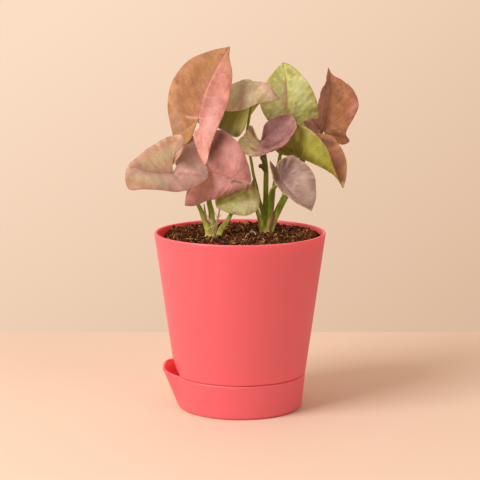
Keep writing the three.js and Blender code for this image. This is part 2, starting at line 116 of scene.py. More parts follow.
def new_object(name, points, faces, material, tint=None):
    """A mesh object from points in millimetres and triangles. Points in one place are merged, triangles that
    shrink to a line go, and tint gives each point its own colour."""
    _, first, merged = np.unique(
        np.round(points * 1e4).astype(np.int64), axis=0, return_index=True, return_inverse=True)
    faces = merged.reshape(-1)[faces]
    a, b, c = faces.T
    faces = faces[(a != b) & (b != c) & (c != a)]
    mesh = bpy.data.meshes.new(name)
    mesh.from_pydata((points[first] * MM).tolist(), [], faces.tolist())
    mesh.materials.append(material)
    mesh.shade_smooth()
    if tint is not None:
        colours = np.ones((len(first), 4))
        colours[:, :3] = tint[first]
        mesh.attributes.new("tint", "FLOAT_COLOR", "POINT").data.foreach_set("color", colours.ravel())
    made = bpy.data.objects.new(name, mesh)
    bpy.context.collection.objects.link(made)
    return made


TABLE_PEACH = paint(222, 197, 175)
ROOM_DIM = (0.27, 0.23, 0.21)
ROOM_WARM = paint(222, 188, 160)
ROOM_BRIGHT = paint(252, 222, 196)
BRIGHT_SIDE = (-0.5, 0.6, 0.6)  # the way to the brightest wall
LAMP_AIM = (0, 0, 0.12)

table_top, _ = new_material("table_top", Base_Color=(*TABLE_PEACH, 1), Roughness=0.75)
table_points = np.array([
    [-TABLE_REACH, -TABLE_REACH, 0], [TABLE_REACH, -TABLE_REACH, 0],
    [TABLE_REACH, TABLE_BACK, 0], [-TABLE_REACH, TABLE_BACK, 0]], float)
table = new_object("table", table_points, np.array([[0, 1, 2], [0, 2, 3]]), table_top)

world = bpy.data.worlds.new("room")
world.use_nodes = True
room = world.node_tree
direction = new_node(room, "ShaderNodeTexCoord")
towards_wall = new_node(room, "ShaderNodeVectorMath", operation="DOT_PRODUCT")
towards_wall.inputs[1].default_value = BRIGHT_SIDE
walls = ramp(room, (0, ROOM_DIM), (0.4, ROOM_WARM), (0.64, ROOM_BRIGHT))
linked(room,
       (direction, "Generated", towards_wall, 0),
       (towards_wall, "Value", walls, 0),
       (walls, "Color", room.nodes["Background"], "Color"))
bpy.context.scene.world = world
bpy.context.scene.view_settings.view_transform = "Standard"


def new_lamp(name, place, size, power, colour):
    """A square soft lamp at a place in metres, tipped and turned to face LAMP_AIM, the middle of the rim."""
    data = bpy.data.lights.new(name, "AREA")
    data.size = size
    data.energy = power
    data.color = colour
    lamp = bpy.data.objects.new(name, data)
    lamp.location = place
    aim = np.array(LAMP_AIM) - np.array(place)
    flat = math.hypot(aim[0], aim[1])
    lamp.rotation_euler = (math.atan2(flat, -aim[2]), 0, math.atan2(-aim[0], aim[1]))
    bpy.context.collection.objects.link(lamp)


new_lamp("window", place=(-1.05, -0.8, 1.15), size=0.85, power=29, colour=(0.95, 0.97, 1))
new_lamp("fill", place=(1.5, -1.3, 0.7), size=1.2, power=9, colour=(1, 0.95, 0.9))

# ---- Saucer ----
# A shallow dish of injection-moulded coral polypropylene, one wall thick, whose rim flares out and up into
# a pouring spout on the left. Its lip and its bottom edge are rounded.

GAP = 0.3
WALL = 2
BASE_RADIUS = 41.9
SEAM_RADIUS = 44.3
SEAM_HEIGHT = 23.7
EDGE = 1.8
CORNER = 1
LIP_ROUND = 1
SPOUT_AZIMUTH = 168
SPOUT_HALF_ANGLE = 38
SPOUT_REACH = 7.9
REACH_FLANK = 22  # degrees over which the spout's reach falls to nothing
SPOUT_RISE = 4.4
RISE_FLANK = 38
AROUND = 240
CORAL = paint(250, 95, 106)
CORAL_DEEP = paint(247, 90, 101)


def smooth(x):
    """0 below 0, 1 above 1, and an S curve between."""
    x = np.clip(x, 0, 1)
    return x * x * (3 - 2 * x)


def spout_share(angle, flank):
    """1 on the spout's centre line, falling by the S curve to 0 at its sides over the last flank degrees."""
    off = np.abs((np.degrees(angle) - SPOUT_AZIMUTH + 180) % 360 - 180)
    return smooth((SPOUT_HALF_ANGLE - off) / flank)


def grid_faces(down, across, around=False):
    """Two triangles for each cell of a grid of points with this many rows and columns. around closes the
    columns into a ring. They face the side from which rows run up and columns run to the right."""
    i, j = np.meshgrid(np.arange(down - 1), np.arange(across if around else across - 1), indexing="ij")
    i, j = i.ravel(), j.ravel()
    k = (j + 1) % across
    a, b, c, d = i * across + j, i * across + k, (i + 1) * across + j, (i + 1) * across + k
    return np.concatenate([np.stack([a, b, c], 1), np.stack([b, d, c], 1)])


def turned(profile_at, around=AROUND):
    """A body turned about Z: profile_at(angles) gives radius and height for each row of the profile and
    each angle, from the axis round the outside and back to the axis."""
    angle = np.arange(around) / around * 2 * np.pi
    radius, height = profile_at(angle)
    points = np.stack([radius * np.cos(angle), radius * np.sin(angle), height], 2)
    return points.reshape(-1, 3), grid_faces(len(radius), around, around=True)


def rounded(first, last, bend, steps=6):
    """Radius and height rows of a quarter-round corner that goes from first to last past the point bend."""
    s = np.linspace(0, np.pi / 2, steps)
    rows = []
    for share, rest in zip(np.sin(s), np.cos(s)):
        rows.append([a + (k - a) * share + (b - k) * (1 - rest) for a, b, k in zip(first, last, bend)])
    return rows


def stacked(rows, angle):
    """The rows of a profile as two arrays, with plain numbers spread over all angles."""
    full = [[np.broadcast_to(np.asarray(value, float), angle.shape) for value in row] for row in rows]
    return np.array([row[0] for row in full]), np.array([row[1] for row in full])


def round_lip(outside, top, steps):
    """Rows over a lip, from the wall's outside to its inside: half an oval as wide as the wall and LIP_ROUND
    high, whose crest is at top."""
    return [[outside - WALL / 2 + WALL / 2 * np.cos(turn), top - LIP_ROUND + LIP_ROUND * np.sin(turn)]
            for turn in np.linspace(0, np.pi, steps)]


def saucer_profile(angle):
    """The saucer's cut: flat underside, rounded edge, flaring wall, round lip, inner wall and floor. The
    flare grows with height and with the spout's share."""
    reach = SPOUT_REACH * spout_share(angle, REACH_FLANK)
    lip = SEAM_HEIGHT - GAP + SPOUT_RISE * spout_share(angle, RISE_FLANK)

    def outer(z):
        """Outer radius at a height: a straight taper, plus the spout's reach in proportion to the height."""
        return BASE_RADIUS + (SEAM_RADIUS - BASE_RADIUS) * z / SEAM_HEIGHT + reach * z / lip

    def height(bottom, share):
        """Height at a share of the way from bottom to where the lip's rounding starts."""
        return bottom + (lip - LIP_ROUND - bottom) * share

    rows = [[0, 0], [BASE_RADIUS * 0.5, 0], [BASE_RADIUS - EDGE - 0.3, 0]]
    rows += rounded([BASE_RADIUS - EDGE, 0], [outer(EDGE), EDGE], [outer(0), 0])
    rows += [[outer(height(EDGE, s)), height(EDGE, s)] for s in np.linspace(0.08, 0.94, 12)]
    rows += round_lip(outer(lip), lip, 13)
    rows += [[outer(height(WALL, s)) - WALL, height(WALL, s)] for s in np.linspace(0.95, 0.12, 12)]
    inside = outer(WALL) - WALL
    rows += rounded([outer(WALL + CORNER) - WALL, WALL + CORNER],
                    [inside - CORNER, WALL], [inside, WALL], 5)
    rows += [[BASE_RADIUS * 0.5, WALL], [0, WALL]]
    return stacked(rows, angle)


def moulded_plastic(name):
    """Satin coral plastic: its colour drifts a little between two shades, a fine grain left by the mould
    breaks up its gloss, and red light spreads inside it and through its thin wall."""
    material, shader = new_material(name, Roughness=0.48, Specular_IOR_Level=0.8, Subsurface_Weight=0.6,
                                    Subsurface_Radius=(0.008, 0.0005, 0.0005), Subsurface_Scale=1)
    tree = material.node_tree
    place = new_node(tree, "ShaderNodeTexCoord")
    drift = new_node(tree, "ShaderNodeTexNoise", Scale=9, Detail=2)
    shades = ramp(tree, (0.3, CORAL_DEEP), (0.7, CORAL))
    grain = new_node(tree, "ShaderNodeTexNoise", Scale=2600, Detail=2)
    skin = new_node(tree, "ShaderNodeBump", Strength=0.06, Distance=0.0002)
    linked(tree,
           (place, "Object", drift, "Vector"),
           (place, "Object", grain, "Vector"),
           (drift, "Fac", shades, "Fac"),
           (shades, "Color", shader, "Base Color"),
           (grain, "Fac", skin, "Height"),
           (skin, "Normal", shader, "Normal"))
    return material


saucer_plastic = moulded_plastic("saucer_plastic")
saucer = new_object("saucer_dish", *turned(saucer_profile), saucer_plastic)
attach(saucer, "root")
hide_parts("saucer")

# ---- Pot ----
# A tapered pot of the same plastic. Its neck and foot ring stand inside the saucer, a shallow hollow behind
# the spout leaves room to pour, and six holes in its floor let the water through.

POT_HEIGHT = 119
RIM_RADIUS = 57.5
DENT_DEPTH = 1.7
DENT_TOP = 34
DENT_FLANK = 8
NECK_RADIUS = 41.4
FOOT_RADIUS = 37.5
FLOOR_HEIGHT = 5
UNDER_RADIUS = FOOT_RADIUS - 3  # flat part of the floor's underside
UPPER_RADIUS = FOOT_RADIUS - WALL - 1.6  # flat part of its upper side
DRAIN_RADIUS = 3
DRAIN_CIRCLE = 22
DRAIN_COUNT = 6
DISC_ROWS = 8
SLOPE = (RIM_RADIUS - SEAM_RADIUS) / (POT_HEIGHT - SEAM_HEIGHT)


def pot_radius(angle, z):
    """Outside of the pot's wall: a straight taper, less the hollow behind the spout, which grows downward."""
    below = np.clip((DENT_TOP - z) / (DENT_TOP - SEAM_HEIGHT), 0, 1)
    sink = DENT_DEPTH * spout_share(angle, DENT_FLANK) * below
    return RIM_RADIUS - SLOPE * (POT_HEIGHT - z) - sink


def pot_profile(angle):
    """The pot's cut without its floor: from the floor's underside over the foot ring, neck, shoulder, wall
    and rim to the floor's upper side."""
    stand = WALL + GAP
    shoulder = pot_radius(angle, SEAM_HEIGHT)
    rows = [[UNDER_RADIUS, FLOOR_HEIGHT], [FOOT_RADIUS - 2.4, stand + 0.3], [FOOT_RADIUS - 2.1, stand],
            [FOOT_RADIUS - 0.8, stand], [FOOT_RADIUS - 0.2, stand + 0.25], [FOOT_RADIUS, stand + 0.8]]
    for s in np.linspace(0.15, 1, 6):
        rows.append([FOOT_RADIUS + (NECK_RADIUS - FOOT_RADIUS) * s,
                     stand + 0.8 + (SEAM_HEIGHT - stand - 0.8) * s])
    rows += [[(NECK_RADIUS + shoulder) / 2, SEAM_HEIGHT]]
    rows += rounded([shoulder - 0.5, SEAM_HEIGHT], [shoulder + 0.5 * SLOPE, SEAM_HEIGHT + 0.5],
                    [shoulder, SEAM_HEIGHT], 5)
    up = [*np.linspace(SEAM_HEIGHT + 1.2, DENT_TOP + 1, 12),
          *np.linspace(DENT_TOP + 6, POT_HEIGHT - 1.3, 16)]
    rows += [[pot_radius(angle, z), z] for z in up]
    rows += round_lip(pot_radius(angle, POT_HEIGHT - LIP_ROUND), POT_HEIGHT, 15)
    down = [*np.linspace(POT_HEIGHT - 1.5, DENT_TOP + 1, 16),
            *np.linspace(DENT_TOP - 1, DENT_TOP - 3, 3)]
    rows += [[pot_radius(angle, z) - WALL, z] for z in down]
    rows += [[NECK_RADIUS - WALL, SEAM_HEIGHT - 1.5], [FOOT_RADIUS - WALL - 0.2, FLOOR_HEIGHT + WALL + 2],
             [FOOT_RADIUS - WALL - 0.6, FLOOR_HEIGHT + WALL + 0.8], [UPPER_RADIUS, FLOOR_HEIGHT + WALL]]
    return stacked(rows, angle)


def swung(flat, k, height):
    """Points of the floor's first sixth, turned about Z to the sixth number k and put at a height."""
    turn = k / DRAIN_COUNT * 2 * np.pi
    x = flat[..., 0] * np.cos(turn) - flat[..., 1] * np.sin(turn)
    y = flat[..., 0] * np.sin(turn) + flat[..., 1] * np.cos(turn)
    return np.stack([x, y, np.full(x.shape, height)], -1).reshape(-1, 3)


def drained_disc(radius, height):
    """A flat disc with the drain holes in it, as one sixth at a time: each point lies between its hole's
    edge and the sixth's outline, in the same direction from the hole. Also gives the first hole's edge."""
    arc = np.arange(AROUND // DRAIN_COUNT + 1) / AROUND * 2 * np.pi - np.pi / DRAIN_COUNT
    rim = radius * np.stack([np.cos(arc), np.sin(arc)], 1)
    side = np.linspace(0, 1, 12)[1:-1, None]
    outline = np.concatenate([[[0, 0]], rim[0] * side, rim, rim[-1] * side[::-1]])
    centre = np.array([DRAIN_CIRCLE, 0])
    away = outline - centre
    edge = centre + DRAIN_RADIUS * away / np.linalg.norm(away, axis=1, keepdims=True)
    share = np.linspace(0, 1, DISC_ROWS)[:, None, None]
    flat = edge + (outline - edge) * share
    cells = grid_faces(DISC_ROWS, len(outline), around=True)[:, ::-1]
    points = [swung(flat, k, height) for k in range(DRAIN_COUNT)]
    faces = [cells + k * len(points[0]) for k in range(DRAIN_COUNT)]
    return np.concatenate(points), np.concatenate(faces), edge


def joined(*parts):
    """One list of points and one of triangles from several."""
    shifts = np.cumsum([0] + [len(points) for points, _ in parts[:-1]])
    return (np.concatenate([points for points, _ in parts]),
            np.concatenate([faces + shift for (_, faces), shift in zip(parts, shifts)]))


def pot_solid():
    """The wall, the floor's two faces and the walls of the drain holes."""
    under, under_faces, lower_edge = drained_disc(UNDER_RADIUS, FLOOR_HEIGHT)
    upper, upper_faces, upper_edge = drained_disc(UPPER_RADIUS, FLOOR_HEIGHT + WALL)
    well = grid_faces(2, len(lower_edge), around=True)[:, ::-1]
    wells = []
    for k in range(DRAIN_COUNT):
        rings = [swung(lower_edge, k, FLOOR_HEIGHT), swung(upper_edge, k, FLOOR_HEIGHT + WALL)]
        wells.append((np.concatenate(rings), well))
    return joined(turned(pot_profile), (under, under_faces[:, ::-1]), (upper, upper_faces), *wells)


pot_plastic = moulded_plastic("pot_plastic")
pot = new_object("pot_shell", *pot_solid(), pot_plastic)
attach(pot, "root")
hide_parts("pot")

# ---- Potting mix ----
# Coir, peat and crumbled bark, filled to just under the rim and settled lower by the wall at the left. The
# bed is one closed surface; crumbs, chips and fibres lie loose on it.

MIX_DEPTH = 2.4
MIX_SLUMP = 8
MIX_GRAIN = 0.8
FINE_GRAIN = 0.35
MIX_SURFACE = POT_HEIGHT - MIX_DEPTH
FIBRE_REACH = 51.5  # how far from the pot's axis a fibre may lie
CROWN_FEET = [(-19.5, -7, 4.4), (-13.5, -6, 2.5), (18, 13, 5)]  # x, y and radius kept clear
COLOUR_A, COLOUR_B, COLOUR_OUT = 6, 7, 2  # a mix node's colour sockets, whose names aren't their own
draw = np.random.default_rng(4)


def from_crowns(x, y):
    """Distance of a place to the edge of the nearest crown's foot."""
    return np.min([np.hypot(x - fx, y - fy) - radius for fx, fy, radius in CROWN_FEET], axis=0)


def mix_edge(angle):
    """Radius of the bed where it meets the pot's wall, a gap inside it at the height of the full slump."""
    return pot_radius(angle, MIX_SURFACE - MIX_SLUMP) - WALL - GAP


def mix_height(x, y):
    """Height of the mix: level, less an S-shaped slump towards the left wall, plus lumps from two crossed
    waves that fade out at the crowns."""
    settled = smooth((-0.94 * x - 0.34 * y - 36) / 18)
    across = np.sin(x * 0.93 + 1.3 * np.sin(y * 0.61))
    back = np.sin(y * 1.07 + 1.1 * np.sin(x * 0.57))
    lumps = (across * back + 1) * smooth(from_crowns(x, y) / 4) - 1
    return MIX_SURFACE - MIX_SLUMP * settled + MIX_GRAIN * lumps


def mix_profile(angle):
    """The bed's cut: flat bottom, a side just inside the pot's wall, and the top with its lumps, which finer
    crossed waves roughen."""
    bottom = FLOOR_HEIGHT + WALL + GAP
    rows = [[0, bottom], [FOOT_RADIUS - WALL - 2, bottom], [NECK_RADIUS - WALL - 0.6, SEAM_HEIGHT - 2]]
    for z in [DENT_TOP - 3, DENT_TOP + 1, 60, 80, 100]:
        rows.append([pot_radius(angle, z) - WALL - GAP, z])
    edge = mix_edge(angle)
    for share in [*np.linspace(1, 0.02, 90), 0]:
        x, y = edge * share * np.cos(angle), edge * share * np.sin(angle)
        rough = FINE_GRAIN * np.sin(2.9 * x + 2 * np.sin(1.9 * y)) * np.sin(3.3 * y + 2 * np.sin(2.3 * x))
        rows.append([edge * share, mix_height(x, y) + rough - 0.5])
    return stacked(rows, angle)


def tumbled(count):
    """Random turns, as matrices from evenly spread quaternions."""
    q = draw.normal(size=(count, 4))
    w, x, y, z = (q / np.linalg.norm(q, axis=1, keepdims=True)).T
    return np.stack([
        1 - 2 * (y * y + z * z), 2 * (x * y - w * z), 2 * (x * z + w * y),
        2 * (x * y + w * z), 1 - 2 * (x * x + z * z), 2 * (y * z - w * x),
        2 * (x * z - w * y), 2 * (y * z + w * x), 1 - 2 * (x * x + y * y)], 1).reshape(count, 3, 3)


def scattered(count, margin):
    """Places spread evenly over the bed, a margin off the pot's wall and none inside a crown's foot."""
    angle, share = draw.random(count) * 2 * np.pi, np.sqrt(draw.random(count))
    edge = mix_edge(angle) - margin
    x, y = edge * share * np.cos(angle), edge * share * np.sin(angle)
    keep = from_crowns(x, y) > -0.5
    return x[keep], y[keep]


def crumbs(count, size, stretch, lift, colours):
    """Loose pieces of the mix: regular bodies of twenty sides, whose corners lie on three golden rectangles,
    each stretched, dented by up to a quarter and tumbled at random. Small ones are the most common."""
    golden = (1 + 5 ** 0.5) / 2
    corner = np.array([
        [-1, golden, 0], [1, golden, 0], [-1, -golden, 0], [1, -golden, 0],
        [0, -1, golden], [0, 1, golden], [0, -1, -golden], [0, 1, -golden],
        [golden, 0, -1], [golden, 0, 1], [-golden, 0, -1], [-golden, 0, 1]]) / np.hypot(1, golden)
    side = np.array([
        [0, 11, 5], [0, 5, 1], [0, 1, 7], [0, 7, 10], [0, 10, 11],
        [1, 5, 9], [5, 11, 4], [11, 10, 2], [10, 7, 6], [7, 1, 8],
        [3, 9, 4], [3, 4, 2], [3, 2, 6], [3, 6, 8], [3, 8, 9],
        [4, 9, 5], [2, 4, 11], [6, 2, 10], [8, 6, 7], [9, 8, 1]])
    x, y = scattered(count, size[1])
    count = len(x)
    radius = size[0] + (size[1] - size[0]) * draw.random((count, 1, 1)) ** 2
    lump = corner * radius * np.array(stretch) * (1 + 0.5 * (draw.random((count, len(corner), 1)) - 0.5))
    z = mix_height(x, y) + lift * draw.normal(size=count)
    points = np.einsum("nij,nkj->nki", tumbled(count), lump) + np.stack([x, y, z], 1)[:, None]
    faces = side + len(corner) * np.arange(count)[:, None, None]
    tint = colours[draw.integers(len(colours), size=count)] * (0.7 + 0.6 * draw.random((count, 1)))
    return (points.reshape(-1, 3), faces.reshape(-1, 3)), np.repeat(tint, len(corner), axis=0)


def fibres(count, length, thickness, colours):
    """Coir fibres: three-sided threads that wander over the mix, each with its own bend and arch. A thread
    is a chain of even steps whose heading turns steadily, and both its ends taper."""
    x, y = scattered(count, 3)
    count = len(x)
    s = np.linspace(-0.5, 0.5, 8)
    long = length[0] + (length[1] - length[0]) * draw.random((count, 1))
    heading = draw.random((count, 1)) * 2 * np.pi + s * draw.normal(size=(count, 1)) * 2.4
    step = long / (len(s) - 1)
    px = x[:, None] + np.cumsum(np.cos(heading) * step, axis=1)
    py = y[:, None] + np.cumsum(np.sin(heading) * step, axis=1)
    inward = np.minimum(1, FIBRE_REACH / np.hypot(px, py))
    px, py = px * inward, py * inward
    arch = draw.random((count, 1)) * 1.6 * (1 - 4 * s * s)
    spine = np.stack([px, py, mix_height(px, py) + 0.3 + arch], 2)
    turn = np.arange(3) / 3 * 2 * np.pi
    thick = thickness * (0.6 + 0.8 * draw.random((count, 1))) * np.sqrt(np.clip(1 - (2 * s) ** 6, 0, 1))
    thick[:, 1:-1] = np.maximum(thick[:, 1:-1], 0.04)
    side = np.stack([-np.sin(heading), np.cos(heading), 0 * heading], 2)[:, :, None]
    up = np.array([0, 0, 1.0])
    points = spine[:, :, None] + thick[:, :, None, None] * (
        side * np.cos(turn)[:, None] + up * np.sin(turn)[:, None])
    faces = grid_faces(len(s), 3, around=True) + 3 * len(s) * np.arange(count)[:, None, None]
    tint = colours[draw.integers(len(colours), size=count)] * (0.7 + 0.6 * draw.random((count, 1)))
    return (points.reshape(-1, 3), faces.reshape(-1, 3)), np.repeat(tint, 3 * len(s), axis=0)


def product(tree):
    """A node that multiplies two colours in full."""
    made = new_node(tree, "ShaderNodeMix", data_type="RGBA", blend_type="MULTIPLY")
    made.inputs[0].default_value = 1
    return made


def crumbly(name):
    """The mix's finish: each piece's own colour, darkened unevenly by damp, with a rough skin."""
    material, shader = new_material(name, Roughness=0.9, Specular_IOR_Level=0.15)
    tree = material.node_tree
    place = new_node(tree, "ShaderNodeTexCoord")
    own = new_node(tree, "ShaderNodeAttribute", attribute_name="tint")
    damp = new_node(tree, "ShaderNodeTexNoise", Scale=900, Detail=4)
    shade = ramp(tree, (0.35, (0.3, 0.25, 0.2)), (0.65, (1, 1, 1)))
    mixed = product(tree)
    skin = new_node(tree, "ShaderNodeBump", Strength=0.5, Distance=0.0004)
    linked(tree,
           (place, "Object", damp, "Vector"),
           (damp, "Fac", shade, "Fac"),
           (own, "Color", mixed, COLOUR_A),
           (shade, "Color", mixed, COLOUR_B),
           (mixed, COLOUR_OUT, shader, "Base Color"),
           (damp, "Fac", skin, "Height"),
           (skin, "Normal", shader, "Normal"))
    return material


PEAT = np.array([paint(64, 34, 14), paint(88, 48, 20), paint(114, 64, 28), paint(40, 20, 8)])
BARK = np.array([paint(136, 78, 36), paint(166, 98, 48), paint(104, 56, 24), paint(206, 144, 84)])
COIR = np.array([paint(220, 164, 104), paint(168, 108, 60), paint(124, 74, 36), paint(90, 50, 24)])
mix_finish = crumbly("damp_mix")
bed, bed_faces = turned(mix_profile)
layers = [
    ((bed, bed_faces), np.broadcast_to(PEAT[0] * 0.7, bed.shape)),
    crumbs(3000, size=(0.4, 1.3), stretch=(1.6, 1, 0.6), lift=0.35, colours=PEAT),
    crumbs(900, size=(0.4, 1.4), stretch=(2.8, 0.7, 0.35), lift=0.5, colours=BARK),
    fibres(800, length=(3, 11), thickness=0.13, colours=COIR),
]
mix_points, mix_faces = joined(*[solid for solid, _ in layers])
mix = new_object("loose_mix", mix_points, mix_faces, mix_finish, np.concatenate([tint for _, tint in layers]))
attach(mix, "root")
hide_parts("potting_mix")

# ---- Leaves ----
# Ten soft arrow-shaped blades, half a millimetre thick. Each is stretched between its midrib and its two
# edges, is quilted between its side veins, and carries its midrib as a round ridge underneath.

BLADE = 0.5
RIB_DEPTH = 0.9
RIB_WIDTH = 0.9
GROOVE_DEPTH = 0.15
GROOVE_WIDTH = 0.6
VEIN_DEPTH = 0.1
VEIN_RIDGE = 0.12
FAN = 0.5  # share of the edge whose rows all start at the leaf stalk
FAN_EASE = 0.12
ROWS = np.concatenate([[0, 0.0012, 0.003], np.linspace(0.006, 1, 150)])
COLUMNS = np.concatenate([
    [0, 0.012, 0.03, 0.06], np.linspace(0.1, 0.93, 18), [0.955, 0.975, 0.988, 0.996, 1]])
VEINS = np.array([0.0, 0.07, 0.17, 0.27, 0.36, 0.45, 0.53, 0.60, 0.67, 0.74, 0.81, 0.88, 1.0])
VEIN_STRENGTH = np.array([0, 0.5, 1, 0.6, 0.5, 0.7, 1, 0.6, 1, 0.7, 0.8, 0.5, 0])
VEIN_SWEEP = 0.06
MARGIN_WAVES = 5
MARGIN_RIPPLE = 0.5
MARGIN_SHARE = 0.6
MARGIN_WIDTH = 0.5
MEETING = 4  # millimetres beside the midrib in which the two halves' colours run together
NO_SINUS = [[0, 0, 0], [0, 0, 0]]


def along(knots, share):
    """Points on a smooth curve through the knots, at shares of its length. The curve is a centripetal
    Catmull-Rom spline: a cubic from knot to knot whose slopes weigh the neighbours by the square root of
    their distances."""
    knots = np.array(knots, float)
    ends = np.concatenate([[2 * knots[0] - knots[1]], knots, [2 * knots[-1] - knots[-2]]])

    def at(place):
        """Points at places counted from 0 at the first knot to 1 at the last, with equal steps for knots."""
        place = place * (len(knots) - 1)
        k = np.minimum(place.astype(int), len(knots) - 2)
        w = (place - k)[:, None]
        p0, p1, p2, p3 = (ends[k + n] for n in range(4))
        pairs = (p0, p1), (p1, p2), (p2, p3)
        d0, d1, d2 = (np.sqrt(np.linalg.norm(b - a, axis=1, keepdims=True)) for a, b in pairs)
        out = d1 * ((p1 - p0) / d0 - (p2 - p0) / (d0 + d1) + (p2 - p1) / d1)
        back = d1 * ((p2 - p1) / d1 - (p3 - p1) / (d1 + d2) + (p3 - p2) / d2)
        return p1 + w * (out + w * (3 * (p2 - p1) - 2 * out - back + w * (2 * (p1 - p2) + out + back)))

    even = np.linspace(0, 1, 201)
    length = np.concatenate([[0], np.cumsum(np.linalg.norm(np.diff(at(even), axis=0), axis=1))])
    return at(np.interp(np.asarray(share) * length[-1], length, even))


def unit(vectors):
    """Each vector divided by its length."""
    return vectors / np.maximum(np.linalg.norm(vectors, axis=-1, keepdims=True), 1e-9)


def half_blade(rib, edge, camber, sinus, turn):
    """One half of a blade as a sheet without thickness: straight lines from the midrib to the edge, bowed
    by camber. The starts of the lines stay at the stalk over the fan, then pick up speed gently along the
    midrib. sinus bends the first lines sideways, round the notch. Returns the points and the lines."""
    outer = along([*edge, rib[-1]], ROWS)
    past_fan = np.maximum(0, (ROWS - FAN) / (1 - FAN))
    inner = along(rib, (np.hypot(past_fan, FAN_EASE) - FAN_EASE) / (math.hypot(1, FAN_EASE) - FAN_EASE))
    across = outer - inner
    heading = np.gradient(outer, ROWS, axis=0)
    bow = unit(np.cross(heading, across)) * (camber * turn * 4 * np.sin(np.pi * ROWS))[:, None]
    bow = bow + 4 * (1 - smooth(ROWS / FAN))[:, None] * np.array(sinus)
    v = COLUMNS[None, :, None]
    return inner[:, None] + across[:, None] * v + bow[:, None] * v * (1 - v), across


def rounded_fold(sheets, lines, radius):
    """Softens the fold at the midrib: both halves are lifted towards the middle of the fold, most at the
    midrib and by the square of what is left of the radius beside it, so the V becomes a round valley."""
    widths = [np.linalg.norm(line, axis=1) for line in lines]
    reach = np.minimum(np.interp(ROWS, [FAN, 1], radius), 0.8 * np.minimum(*widths) + 1e-6)
    reach[ROWS <= FAN] = reach[ROWS > FAN][0]
    lift = (unit(lines[0]) + unit(lines[1])) / 4
    lift[ROWS <= FAN] = lift[ROWS > FAN][0]
    for sheet, width in zip(sheets, widths):
        left = np.maximum(0, 1 - COLUMNS * width[:, None] / reach[:, None])
        sheet += (lift * reach[:, None])[:, None] * (left ** 2)[..., None]
    return widths


def facing(sheet, turn):
    """Normals of a sheet towards its upper side, from the cross product of its two slopes."""
    normal = turn * np.cross(np.gradient(sheet, ROWS, axis=0), np.gradient(sheet, COLUMNS, axis=1))
    size = np.linalg.norm(normal, axis=2)
    normal = unit(normal)
    normal[:, 0] = np.where(size[:, :1] < 1e-3 * size.max(), normal[:, 1], normal[:, 0])
    normal[-1] = normal[-2]
    return normal


def blade(leaf):
    """The whole blade as a closed shell. Its two sheets lie half a thickness to either side, thin out to
    nothing at the edge, and share the relief: sunk veins, quilting between them and a wavy margin. A vein
    falls off by a bell curve beside its line, quilting is a sine from vein to vein, and the margin is two
    sines along the edge that grow with the distance from the midrib."""
    sinus = leaf.get("sinus", NO_SINUS)
    halves = [half_blade(leaf["rib"], leaf["left"], leaf["camber"][0], sinus[0], 1),
              half_blade(leaf["rib"], leaf["right"], leaf["camber"][1], sinus[1], -1)]
    widths = rounded_fold([half[0] for half in halves], [half[1] for half in halves], leaf["fold"])
    normals = [facing(half[0], turn) for half, turn in zip(halves, (1, -1))]
    middle = unit(normals[0][:, 0] + normals[1][:, 0])
    fan = ROWS <= FAN
    middle[fan] = unit(middle[fan].mean(axis=0))
    leaf["stalk_end"] = halves[0][0][0, 0], middle[0]
    sheets = []
    for (sheet, _), normal, width, turn in zip(halves, normals, widths, (1, -1)):
        normal[:, 0] = middle
        width = width[:, None]
        t, v = ROWS[:, None], COLUMNS[None, :]
        speed = np.linalg.norm(np.gradient(sheet, ROWS, axis=0), axis=2)
        cell = speed * 0.08
        curved = t - VEIN_SWEEP * v * v * np.sin(np.pi * t)
        gap = (curved[..., None] - VEINS) * speed[..., None]
        slim = np.minimum(0.5 - 0.3 * v, 0.2 * cell + 0.02)[..., None]
        vein = (VEIN_STRENGTH * np.exp(-(gap / slim) ** 2)).sum(axis=2) * (1 - smooth((v - 0.78) / 0.2))
        vein = np.minimum(vein, 1) * smooth(cell / 2)
        phase = np.interp(curved, VEINS, np.arange(len(VEINS)))
        quilt = np.abs(np.sin(np.pi * phase)) * np.sin(np.pi * v) ** 0.8 * smooth(cell / 5)
        from_rib, from_edge = v * width, (1 - v) * width
        from_notch = np.linalg.norm(sheet - sheet[:1], axis=2)
        rim = np.minimum(from_edge, from_notch)
        taper = np.sqrt(1 - (1 - np.minimum(rim / BLADE, 1)) ** 2)
        groove = np.exp(-((from_rib / GROOVE_WIDTH) ** 2)) * smooth((1.02 - t) / 0.3)
        margin = np.sin(2 * np.pi * (MARGIN_WAVES * t + 0.2 * turn)) * v ** 3 * np.sin(np.pi * t)
        finer = np.sin(2 * np.pi * (2.7 * MARGIN_WAVES * t))
        margin = margin + 0.4 * finer * v ** 6 * np.sin(np.pi * t)
        relief = leaf["quilt"] * quilt - VEIN_DEPTH * vein - GROOVE_DEPTH * groove * taper
        relief = relief + MARGIN_RIPPLE * margin
        rib = RIB_DEPTH * (1 - 0.8 * t) * np.exp(-((from_rib / RIB_WIDTH) ** 2))
        ridge = (rib + VEIN_RIDGE * vein) * taper
        top = sheet + normal * (relief + BLADE / 2 * taper)[..., None]
        under = sheet + normal * (relief - BLADE / 2 * taper - ridge)[..., None]
        sheets.append({"top": top, "under": under, "vein": vein, "groove": groove, "rim": rim, "turn": turn,
                       "from_rib": from_rib})
    return sheets


def mottle(points, size, seed):
    """A soft random field between about -1 and 1: twelve waves in random directions, as long as size."""
    wild = np.random.default_rng(seed)
    waves = unit(wild.normal(size=(12, 3))) * 2 * np.pi / size * (0.6 + 0.8 * wild.random((12, 1)))
    return np.sin(points @ waves.T + wild.random(12) * 2 * np.pi).sum(axis=-1) / 3


def blended(tint, colour, share):
    """The tint moved towards a colour by a share for each point."""
    return tint + (np.array(colour) - tint) * np.clip(share, 0, 1)[..., None]


